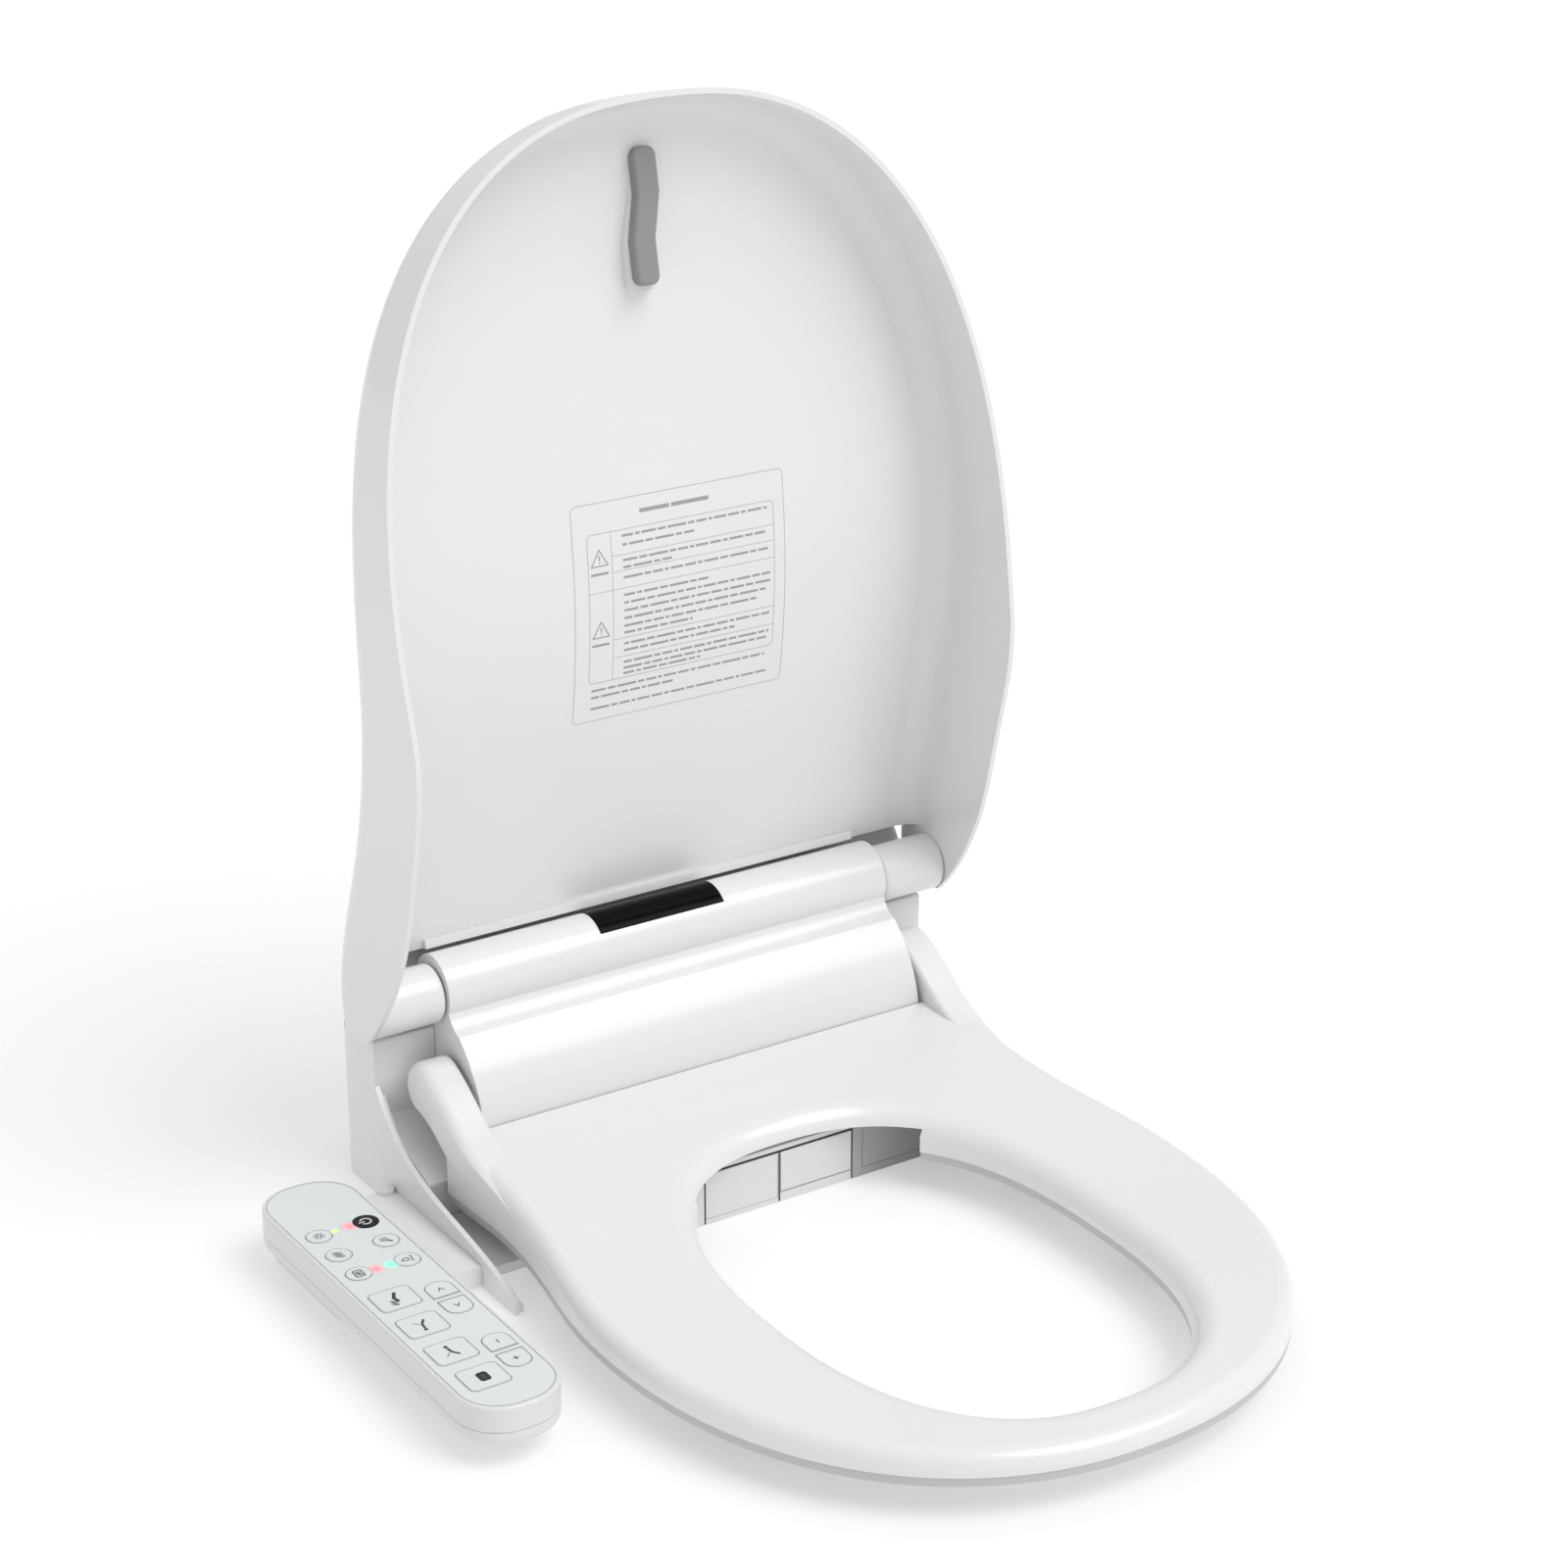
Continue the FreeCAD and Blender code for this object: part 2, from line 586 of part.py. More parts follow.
def inlet_fitting():
    """Threaded spigot for the water hose, clamped in the rear wall."""
    rear = HOUSING_REAR
    body = rod(INLET_X, rear - 4, INLET_Z, Y_AXIS, 12.5, 6)
    body = body.fuse(rod(INLET_X, rear + 2, INLET_Z, Y_AXIS, INLET_R, INLET_LENGTH))
    body = body.fuse(rod(INLET_X, 30.5, INLET_Z, Y_AXIS, 6, rear - 4 - 30))
    return body.cut(rod(INLET_X, 30, INLET_Z, Y_AXIS, 4, rear)).removeSplitter()


def air_pump():
    body = rod(20, 12, 56, X_AXIS, 13, 34)
    body = body.fuse(rod(12, 12, 56, X_AXIS, 8, 10)).fuse(rod(40, 12, 67, Z_AXIS, 2.5, 10))
    return body


def cord_gland():
    rear = HOUSING_REAR
    body = rod(150, rear - 6, 24, Y_AXIS, 6, 9).fuse(rod(150, rear + 0.2, 24, Y_AXIS, 9, 4))
    return body.cut(rod(150, rear - 8, 24, Y_AXIS, 3.6, 20)).removeSplitter()


def damper(axis, can_r, can_length, pin_r, pin_end):
    """Right-hand rotary damper: a can inside the cover and its pin outward."""
    start = COVER_HALF - WALL - can_length
    can = rod(start, axis.y, axis.z, X_AXIS, can_r, can_length - 0.2)
    pin = rod(start + 2, axis.y, axis.z, X_AXIS, pin_r, pin_end - start - 2)
    return can.fuse(pin)


def release_button():
    """Push button on the right flank with the latch bar it moves."""
    z = 9.0
    cap = rounded_slab(178.8, 187.8, 10.2, 29.8, z - 4, z + 4, 1.5)
    bar = box(108, 179, 18, 22, z - 2.5, z + 2.5)
    return cap.fuse(bar).removeSplitter()


def case_screws():
    """Two self-tapping screws in the bosses of the base tray."""
    solids = []
    for x in (-SCREW_X, SCREW_X):
        shank = rod(x, SCREW_Y, 6.2, Z_AXIS, 1.35, 10)
        solids.append(shank.fuse(rod(x, SCREW_Y, 16, Z_AXIS, 3, 2)))
    return Part.makeCompound(solids)


# ---- lid -----------------------------------------------------------------------
def forward(points):
    """Distances in front of the lid hinge turned into Y."""
    return [(LID_AXIS.y - s, z) for s, z in points]


LID_TOP = [(-17, 152), (0, 153.5), (22, 149.5), (60, 132), (106, 106), (162, 82.5),
           (204, 71), (262, 63), (331, 58.5), (400, 53.5), (478, 42)]
LID_UNDER = [(22, 132), (60, 118.5), (106, 98.5), (162, 77), (204, 66),
             (262, 58.3), (331, 54.3), (400, 49.3), (474, 39)]
LID_RIM = [(168, 7), (145, 9.5), (120, 17.5), (97, 28), (65, 43), (39, 57), (20, 71), (-1, 91), (-17, 112)]
BUMPER_FROM = 373.0
BUMPER_TO = 446.0
BUMPER_LOW = 37.9
BUMPER_HIGH = 44.5


def bumper_outline(width, extra, z0, z1):
    """A bar along the lid with two gentle kinks, in the closed place."""
    run = (BUMPER_TO - BUMPER_FROM) / 3
    shift = 2.8
    mids = [(-shift, BUMPER_FROM - extra), (-shift, BUMPER_FROM + run), (shift, BUMPER_TO - run),
            (shift, BUMPER_TO + extra)]
    half = width / 2
    right = [V(x + half, LID_AXIS.y - s, z0) for x, s in mids]
    left = [V(x - half, LID_AXIS.y - s, z0) for x, s in reversed(mids)]
    body = Part.Face(Part.makePolygon(right + left + [right[0]])).extrude(V(0, 0, z1 - z0))
    ends = [e for e in body.Edges if e.BoundBox.ZLength > z1 - z0 - 0.01
            and (e.BoundBox.YMin > LID_AXIS.y - BUMPER_FROM - 0.1
                 or e.BoundBox.YMax < LID_AXIS.y - BUMPER_TO + 0.1)]
    return body.makeFillet(min(5.0, half - 0.5), ends)


def lid_shell_closed():
    far = LID_AXIS.y - LID_LENGTH - 6
    top = forward(LID_TOP)
    rim = forward(LID_RIM)
    outer_side = side_slab([top, (far, rim[0][1]), rim], -220, 220)
    outer = lid_slab(0, 0, 170).common(outer_side)
    crest = [p[1] for p in top]

    def on_top_edge(e):
        b = e.BoundBox
        return b.XLength > 20 and b.YLength > 60 and b.ZMax > min(crest) + 60 and b.XMax > 150

    outer = round_over(outer, on_top_edge, (18, 14, 10, 6))
    under = forward(LID_UNDER)
    rear = LID_AXIS.y - LID_REAR + 5
    inner_side = side_slab(
        [(rear, 146), (LID_AXIS.y - 21.9, 146), under, (far, 0), (rear, 0)], -220, 220)
    inner = lid_slab(LID_WALL, -5, 170, rear=LID_REAR - 6).common(inner_side)
    inner = round_over(inner, on_top_edge, (15, 11, 8, 5))
    body = outer.cut(inner)
    boss = bumper_outline(17, 3, BUMPER_HIGH, 64).common(outer)
    lip = box(-143, 143, LID_AXIS.y - 27, LID_AXIS.y - 22, 128, 140)
    body = body.fuse(boss).fuse(lip.common(outer))
    return body.removeSplitter()


def lid_bumper(shell):
    body = bumper_outline(14, 0, BUMPER_LOW, BUMPER_HIGH).cut(shell)
    low = [e for e in body.Edges if e.BoundBox.ZMax < BUMPER_LOW + 0.01]
    return body.makeFillet(2.0, low)


def lid_barrel():
    """Right-hand hinge barrel, open to the damper pin on its inner end."""
    body = rod(BARREL_INNER, LID_AXIS.y, LID_AXIS.z, X_AXIS, BARREL_R, BARREL_OUTER - BARREL_INNER)
    inner_edge = [e for e in body.Edges if e.BoundBox.XMax < BARREL_INNER + 0.01]
    body = body.makeFillet(3.5, inner_edge)
    return body.cut(rod(BARREL_INNER - 1, LID_AXIS.y, LID_AXIS.z, X_AXIS, LID_PIN_R + BORE_PLAY, 22))


# ---- seat ------------------------------------------------------------------------
SEAT_TOP = [(SEAT_NOTCH_Y, NOTCH_Z), (-90, 52.6), (-127, 48.5), (-200, 41.5),
            (-300, 38), (-400, 37.5), (-470, 34)]


def outer_top_edge(e):
    b = e.BoundBox
    return b.ZMin > 28 and b.YLength > 120 and b.XMax > 120


def opening_top_edge(e):
    b = e.BoundBox
    return b.ZMin > 28 and b.YLength > 120 and 60 < b.XMax < 120


def ear_points():
    """Side outline of an ear, from the front along its top and round the pin."""
    points = [(-132, 39.5), (-108, 47.0), (-84, 53.4), (-64, 63.0), (-48, 74.0)]
    for degrees in (120, 95, 70, 45, 20, -5, -30, -60, -90):
        a = math.radians(degrees)
        points.append((SEAT_AXIS.y + EAR_R * math.cos(a), SEAT_AXIS.z + EAR_R * math.sin(a)))
    return points + [(-31, 52.6), (-42, 46.5), (-56, 39.0)]


def ear_section(x, shrink):
    points = ear_points()
    moved = []
    for i, (y, z) in enumerate(points):
        y0, z0 = points[max(i - 1, 0)]
        y1, z1 = points[min(i + 1, len(points) - 1)]
        length = math.hypot(y1 - y0, z1 - z0)
        moved.append(V(x, y + shrink * (z1 - z0) / length, z - shrink * (y1 - y0) / length))
    curve = Part.BSplineCurve()
    curve.interpolate(moved)
    foot = V(x, moved[0].y, 33)
    heel = V(x, moved[-1].y, 33)
    lines = [(moved[-1], heel), (heel, foot), (foot, moved[0])]
    return Part.Wire([curve.toShape()] + [Part.LineSegment(a, b).toShape() for a, b in lines])


def ear_side(face_x, roll):
    """The rounded flank of an ear that ends at face_x; a negative roll faces inward."""
    sections = []
    for degrees in (0, 20, 40, 60, 80):
        a = math.radians(degrees)
        sections.append(ear_section(face_x - roll + roll * math.sin(a), abs(roll) * (1 - math.cos(a))))
    return Part.makeLoft(sections, True, False)


def seat_ear():
    """Right-hand ear that carries the seat on its hinge pin."""
    inner = EAR_INNER + EAR_INNER_ROLL
    outer = EAR_OUTER - EAR_ROLL
    middle = Part.Face(ear_section(inner, 0)).extrude(V(outer - inner, 0, 0))
    return middle.fuse(ear_side(EAR_OUTER, EAR_ROLL)).fuse(ear_side(EAR_INNER, -EAR_INNER_ROLL))


def seat_body():
    """The closed form of the whole seat before it is split into shells."""
    side = side_slab([SEAT_TOP, (-470, SEAT_BOTTOM), (SEAT_NOTCH_Y, SEAT_BOTTOM)], -200, 200)
    plate = seat_slab(0, 0, 80).common(side)
    plate = plate.cut(opening_slab(0, 0, 80))

    plate = round_over(plate, outer_top_edge, (9, 7, 5))
    plate = round_over(plate, opening_top_edge, (14, 12, 10, 8))
    ear = seat_ear().common(seat_slab(0.05, 0, 120))
    bore = rod(EAR_INNER - 1, SEAT_AXIS.y, SEAT_AXIS.z, X_AXIS, SEAT_PIN_R + BORE_PLAY, 20)
    body = plate.fuse(ear).fuse(mirrored(ear)).cut(bore).cut(mirrored(bore))
    # room above the nozzle bay
    return body.cut(box(-118, 118, -156, SEAT_NOTCH_Y + 1, 0, 38))


def seat_top_shell(body):
    upper = body.common(box(-200, 200, -480, 20, SEAM_Z, 120))
    shifted = [(y, z - SEAT_WALL) for y, z in SEAT_TOP]
    side = side_slab([shifted, (-470, 0), (SEAT_NOTCH_Y, 0)], -200, 200)
    cavity = seat_slab(SEAT_WALL, 0, 80).common(side).cut(opening_slab(SEAT_WALL, 0, 80))
    cavity = cavity.common(box(-200, 200, -480, -144, 0, 80))

    cavity = round_over(cavity, outer_top_edge, (6, 4))
    cavity = round_over(cavity, opening_top_edge, (10, 8, 6))
    return upper.cut(cavity).removeSplitter()


def seat_bottom_shell(body):
    lower = body.common(box(-200, 200, -480, 20, 0, SEAM_Z - 0.05))
    trim = seat_slab(0.5, 0, 30).cut(opening_slab(0.5, 0, 30))
    lower = lower.common(trim)
    recess = seat_slab(7, SEAT_BOTTOM + 2.2, 30).cut(opening_slab(7, 0, 30))
    recess = recess.common(box(-200, 200, -480, -144, 0, 40))
    return lower.cut(recess).removeSplitter()


def seat_heater():
    """Foil heater under the seat's top skin."""
    upper = [(y, z - SEAT_WALL - 0.3) for y, z in SEAT_TOP]
    lower = [(y, z - SEAT_WALL - 1.0) for y, z in reversed(SEAT_TOP)]
    band = side_slab([upper, lower], -200, 200)
    ring = seat_slab(16, 0, 80).cut(opening_slab(16, 0, 80))
    return ring.common(band).common(box(-200, 200, -480, -150, 0, 80))


def seat_bumpers():
    solids = []
    for x, y in ((137, -190), (132, -300)):
        pad = rounded_slab(x - 6, x + 6, y - 16, y + 16, 0, SEAT_BOTTOM, 5)
        solids += [pad, mirrored(pad)]
    return Part.makeCompound(solids)


# ---- control panel ---------------------------------------------------------------
def panel_slab(inset, z0, z1):
    return rounded_slab(PANEL_X0 + inset, PANEL_X1 - inset, PANEL_Y0 + inset, PANEL_Y1 - inset,
                        z0, z1, PANEL_CORNER - inset)


def key_prism(x, y, kind, grow, z0, z1):
    if kind == "round":
        return rod(x, y, z0, Z_AXIS, ROUND_KEY_R + grow, z1 - z0)
    if kind == "square":
        w = SQUARE_KEY_X / 2 + grow
        h = SQUARE_KEY_Y / 2 + grow
        return rounded_slab(x - w, x + w, y - h, y + h, z0, z1, 3.5 + grow)
    w = CAP_WIDTH / 2 + grow
    h = CAP_LENGTH / 2 + grow
    body = box(x - w, x + w, y - h, y + h, z0, z1)
    outer_end = y + h if kind == "cap_back" else y - h
    round_ends = [e for e in body.Edges if e.BoundBox.ZLength > z1 - z0 - 0.01
                  and abs(e.BoundBox.YMin - outer_end) < 0.01]
    return body.makeFillet(w - 0.6, round_ends)


def cut_keys(shape, z0, z1):
    for _, x, y, kind in KEYS:
        shape = shape.cut(key_prism(x, y, kind, KEY_GAP, z0, z1))
    return shape


def panel_overlay():
    return cut_keys(panel_slab(2.2, PANEL_TOP - OVERLAY_THICK, PANEL_TOP), 30, 40)


def panel_upper_case():
    body = panel_slab(0, PANEL_SEAM + 0.15, PANEL_TOP)
    rim = [e for e in body.Edges if e.BoundBox.ZMin > PANEL_TOP - 0.01]
    body = body.makeFillet(1.6, rim)
    body = body.cut(panel_slab(2.1, PANEL_TOP - OVERLAY_THICK, PANEL_TOP + 1))
    body = body.cut(panel_slab(2.4, PANEL_SEAM - 1, KEY_BOTTOM + 0.6))
    body = cut_keys(body, 30, 40)
    for x, y in LED_PLACES:
        body = body.cut(rod(x, y, 30, Z_AXIS, LED_R + 0.1, 6))
    return body


def panel_lower_case():
    body = panel_slab(0, PANEL_BOTTOM, PANEL_SEAM - 0.15)
    low = [e for e in body.Edges if e.BoundBox.ZMax < PANEL_BOTTOM + 0.01]
    body = body.makeFillet(5, low)
    body = body.cut(panel_slab(2.4, PANEL_BOTTOM + 2.4, PANEL_SEAM + 1))
    for y in (-200, -120, -60):
        body = body.fuse(rod(-247, y, PANEL_BOTTOM + 2, Z_AXIS, 4, 14.8))
    return body.cut(box(-224, -215, -100, -80, 15.6, 20))


def panel_board():
    body = rounded_slab(PANEL_X0 + 6, PANEL_X1 - 6, PANEL_Y0 + 14, PANEL_Y1 - 14, 30, 31.6, 12)
    return body.fuse(box(-262, -236, -110, -96, 26.5, 30.5)).fuse(box(-258, -244, -176, -160, 27, 30.5))


def panel_leds():
    return Part.makeCompound([rod(x, y, 31.8, Z_AXIS, LED_R, 3.3) for x, y in LED_PLACES])


def panel_bracket():
    """Arm that carries the control panel out from the left flank."""
    side = -HOUSING_HALF - 0.1
    body = rounded_slab(-266, side, -116, -22, 2, PANEL_BOTTOM - 0.2, 12)
    body = body.fuse(box(side - 14, side, -116, -22, 2, PANEL_BOTTOM - 0.2))
    neck = box(-216, side, -112, -12, 2, 12.5)
    round_end = [e for e in neck.Edges if e.BoundBox.ZLength > 10
                 and e.BoundBox.XMax < -215 and e.BoundBox.YMax < -111]
    neck = neck.makeFillet(9, round_end).common(box(-218.6, side, -140, 0, 0, 20))
    conduit = rod(side - 5, -14, 2, Z_AXIS, 5, 13).common(box(-220, side, -30, 0, 0, 20))
    tube = rod(side - 8, -14, 7, X_AXIS, 3.3, 11)
    return body.fuse(neck).fuse(conduit).fuse(tube).removeSplitter()


# ---- build -----------------------------------------------------------------------
right_cover = side_cover().cut(box(170, 190, 9.5, 30.5, 4.5, 13.5))
left_cover = mirrored(side_cover()).cut(panel_cable_hole())
seat = seat_body()
lid = lid_shell_closed()
barrel = lid_barrel()
lid_damper = damper(LID_AXIS, 12, 42, LID_PIN_R, BARREL_INNER + 18)
seat_damper = damper(SEAT_AXIS, 10, 36, SEAT_PIN_R, EAR_INNER + 17)

save("housing_base", housing_base())
save("housing_top_cover", housing_top_cover())
save("side_cover_left", left_cover)
save("side_cover_right", right_cover)
save("sensor_window", sensor_window())
save("mounting_plate", mounting_plate())
save("nozzle_fascia", nozzle_fascia())
save("nozzle_door_rear", door(-48.4, -1.2, DOOR_BOTTOMS["rear"] + 0.3))
save("nozzle_door_front", door(1.2, 48.4, DOOR_BOTTOMS["front"] + 0.3))
save("dryer_flap", door(56.4, 97.6, 5.3))
save("nozzle_rear", nozzle(-NOZZLE_X, False))
save("nozzle_front", nozzle(NOZZLE_X, True))
save("nozzle_cradle", nozzle_cradle())
save("nozzle_motors", nozzle_motors())
save("water_heater_tank", water_heater_tank())
save("main_board", main_board())
save("power_module", power_module())
save("fan_housing", fan_housing())
save("fan_wheel", fan_wheel())
save("fan_motor", fan_motor())
save("dryer_duct", dryer_duct())
save("dryer_heater", dryer_heater())
save("solenoid_valve", solenoid_valve())
save("inlet_fitting", inlet_fitting())
save("air_pump", air_pump())
save("cord_gland", cord_gland())
save("lid_damper_right", lid_damper)
save("lid_damper_left", mirrored(lid_damper))
save("seat_damper_right", seat_damper)
save("seat_damper_left", mirrored(seat_damper))
save("release_button", release_button())
save("case_screws", case_screws())
save("lid_shell", opened(lid))
save("lid_bumper", opened(lid_bumper(lid)))
save("lid_barrel_right", barrel)
save("lid_barrel_left", mirrored(barrel))
save("seat_top_shell", seat_top_shell(seat))
save("seat_bottom_shell", seat_bottom_shell(seat))
save("seat_heater", seat_heater())
save("seat_bumpers", seat_bumpers())
save("panel_bracket", panel_bracket())
save("panel_lower_case", panel_lower_case())
save("panel_upper_case", panel_upper_case())
save("panel_overlay", panel_overlay())
save("panel_board", panel_board())
save("panel_leds", panel_leds())
for name, key_x, key_y, kind in KEYS:
    save(name, key_prism(key_x, key_y, kind, 0.0, KEY_BOTTOM, PANEL_TOP + KEY_PROUD))
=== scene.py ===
import json
import math

import bpy
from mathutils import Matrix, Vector
from mathutils.bvhtree import BVHTree


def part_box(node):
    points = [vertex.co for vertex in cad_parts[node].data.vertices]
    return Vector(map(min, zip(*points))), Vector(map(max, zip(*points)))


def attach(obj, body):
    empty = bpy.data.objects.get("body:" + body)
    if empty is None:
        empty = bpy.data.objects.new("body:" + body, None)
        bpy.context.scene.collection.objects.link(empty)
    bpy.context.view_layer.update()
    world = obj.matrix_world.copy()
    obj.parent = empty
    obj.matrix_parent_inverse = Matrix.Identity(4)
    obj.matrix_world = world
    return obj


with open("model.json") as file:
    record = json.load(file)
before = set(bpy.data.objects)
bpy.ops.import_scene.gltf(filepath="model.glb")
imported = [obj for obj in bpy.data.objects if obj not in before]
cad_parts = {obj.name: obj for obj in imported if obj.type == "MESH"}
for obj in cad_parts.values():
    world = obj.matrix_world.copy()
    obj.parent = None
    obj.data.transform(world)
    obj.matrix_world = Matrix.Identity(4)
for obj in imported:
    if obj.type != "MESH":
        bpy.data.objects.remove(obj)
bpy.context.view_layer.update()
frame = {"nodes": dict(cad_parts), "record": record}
NODES = frame["nodes"]

MM = 0.001
ROUND_ANGLE = math.radians(35)  # faces that meet at less than this look round

WHITE = (0.775, 0.775, 0.772)
SATIN_WHITE = (0.72, 0.72, 0.72)
DOOR_WHITE = (0.70, 0.70, 0.71)
# Grey painted on the bay's front wall and dryer flap as shade; it is not the plastic's own colour
PAINTED_SHADE_GREY = (0.40, 0.40, 0.405)
FILM = (0.70, 0.735, 0.735)

MOTTLE_SCALE = 5.0              # noise scales of plastic's colour and gloss
GLOSS_SCALE = 30.0
SKIN_DEPTH = 0.00006            # relief of moulded plastic, in metres
LINE_DEPTH = 0.00005            # relief of drawn metal
SHADE_START = 0.049            # where painted shade starts on the bay's front wall, beside the nozzle doors; the next line is where it is deepest
SHADE_END = 0.105

INK_HIGH = 0.1                  # top and underside of raised print, in mm above its surface
INK_LOW = 0.02
FILM_CORNER = 22.4              # plan radius of the panel film's corners, in mm
FILM_INSET = 0.4
KEY_INSET = 0.25                # from a key's edge to the middle of its printed line, in mm
KEY_LINE = 0.3
KEY_CORNER = 3.2
PIN_REACH = 0.8                 # each door's pins stand this far out of its leaf, in mm

GLOW_R = 0.0055                 # reach of a lit lamp's glow, in metres
GLOW_THICK = 0.00003
GLOW_RINGS = 4
GLOW_RIM = 40

FLOOR_HALF = 30.0
FLOOR_DROP = 0.0004             # keeps the floor just clear of the plate that stands on it
FLOOR_LIGHT = 0.36
WORLD_LIGHT = 0.66


# ---- materials -----------------------------------------------------------
def shader(name):
    """A new material with its node tree, Principled shader and object coordinates."""
    material = bpy.data.materials.new(name)
    material.use_nodes = True
    tree = material.node_tree
    principled = tree.nodes["Principled BSDF"]
    coords = tree.nodes.new("ShaderNodeTexCoord")
    return material, tree, principled, coords.outputs["Object"]


def noise(tree, coords, scale, detail=2.0):
    node = tree.nodes.new("ShaderNodeTexNoise")
    node.inputs["Scale"].default_value = scale
    node.inputs["Detail"].default_value = detail
    tree.links.new(coords, node.inputs["Vector"])
    return node.outputs["Fac"]


def ramp(tree, fac, low, high, start=0.3, end=0.7):
    node = tree.nodes.new("ShaderNodeValToRGB")
    node.color_ramp.elements[0].position = start
    node.color_ramp.elements[1].position = end
    node.color_ramp.elements[0].color = (*low, 1)
    node.color_ramp.elements[1].color = (*high, 1)
    tree.links.new(fac, node.inputs["Fac"])
    return node.outputs["Color"]


def remap(tree, fac, low, high):
    node = tree.nodes.new("ShaderNodeMapRange")
    node.inputs["To Min"].default_value = low
    node.inputs["To Max"].default_value = high
    tree.links.new(fac, node.inputs["Value"])
    return node.outputs["Result"]


def bump(tree, principled, height, strength, depth):
    node = tree.nodes.new("ShaderNodeBump")
    node.inputs["Strength"].default_value = strength
    node.inputs["Distance"].default_value = depth
    tree.links.new(height, node.inputs["Height"])
    tree.links.new(node.outputs["Normal"], principled.inputs["Normal"])


def plastic(name, colour, rough, coat=0.0, grain=0.15, grain_scale=1400.0, mottle=0.008, shine=0.5):
    """Moulded plastic: faint colour mottling, uneven gloss and a fine skin."""
    material, tree, principled, coords = shader(name)
    low = [c * (1 - mottle) for c in colour]
    high = [min(1.0, c * (1 + mottle)) for c in colour]
    mottled = ramp(tree, noise(tree, coords, MOTTLE_SCALE, 1.0), low, high, 0.1, 0.9)
    tree.links.new(mottled, principled.inputs["Base Color"])
    gloss = remap(tree, noise(tree, coords, GLOSS_SCALE, 1.0), rough - 0.02, rough + 0.02)
    tree.links.new(gloss, principled.inputs["Roughness"])
    bump(tree, principled, noise(tree, coords, grain_scale, 2.0), grain, SKIN_DEPTH)
    principled.inputs["Coat Weight"].default_value = coat
    principled.inputs["Coat Roughness"].default_value = 0.08
    principled.inputs["IOR"].default_value = 1.5
    principled.inputs["Specular IOR Level"].default_value = shine
    return material


def metal(name, colour, rough, stretch=(1.0, 1.0, 30.0)):
    """Drawn or turned metal with fine lines."""
    material, tree, principled, coords = shader(name)
    mapping = tree.nodes.new("ShaderNodeMapping")
    mapping.inputs["Scale"].default_value = stretch
    tree.links.new(coords, mapping.inputs["Vector"])
    lines = noise(tree, mapping.outputs["Vector"], 60.0, 4.0)
    low = [c * 0.88 for c in colour]
    tree.links.new(ramp(tree, lines, low, colour), principled.inputs["Base Color"])
    tree.links.new(remap(tree, lines, rough - 0.06, rough + 0.08), principled.inputs["Roughness"])
    bump(tree, principled, lines, 0.2, LINE_DEPTH)
    principled.inputs["Metallic"].default_value = 1.0
    return material


def painted_shade_plastic(name, colour, rough=0.38):
    """Bay wall plastic: its own colour as far as the nozzle doors, then painted shade, a grey that
    deepens to the right.
    """
    material = plastic(name, colour, rough, grain=0.25)
    tree = material.node_tree
    coords = tree.nodes["Texture Coordinate"].outputs["Object"]
    axes = tree.nodes.new("ShaderNodeSeparateXYZ")
    tree.links.new(coords, axes.inputs["Vector"])
    along = tree.nodes.new("ShaderNodeMapRange")
    along.inputs["From Min"].default_value = SHADE_START - 0.001
    along.inputs["From Max"].default_value = SHADE_END
    tree.links.new(axes.outputs["X"], along.inputs["Value"])
    # Painted shade: grey from the doors' edge, deepening to its darkest at the far right
    deepest_shade = [c * 0.62 for c in PAINTED_SHADE_GREY]
    shade_tones = ramp(tree, along.outputs["Result"], colour, deepest_shade, 0.0, 1.0)
    middle = shade_tones.node.color_ramp.elements.new(0.03)
    middle.color = (*PAINTED_SHADE_GREY, 1)
    tree.links.new(shade_tones, tree.nodes["Principled BSDF"].inputs["Base Color"])
    return material


def lamp_glow(name, colour, reach):
    """Round glow of a lit lamp on the film: bright core fading into the film's colour."""
    material, tree, principled, coords = shader(name)
    gradient = tree.nodes.new("ShaderNodeTexGradient")
    gradient.gradient_type = "SPHERICAL"
    mapping = tree.nodes.new("ShaderNodeMapping")
    mapping.inputs["Scale"].default_value = (1 / reach, 1 / reach, 1 / reach)
    tree.links.new(coords, mapping.inputs["Vector"])
    tree.links.new(mapping.outputs["Vector"], gradient.inputs["Vector"])
    blend = ramp(tree, gradient.outputs["Fac"], FILM, colour, 0.0, 1.0)
    tree.links.new(blend, principled.inputs["Base Color"])
    core = ramp(tree, gradient.outputs["Fac"], (0, 0, 0), colour, 0.15, 1.0)
    tree.links.new(core, principled.inputs["Emission Color"])
    principled.inputs["Emission Strength"].default_value = 0.9
    principled.inputs["Roughness"].default_value = 0.45
    return material


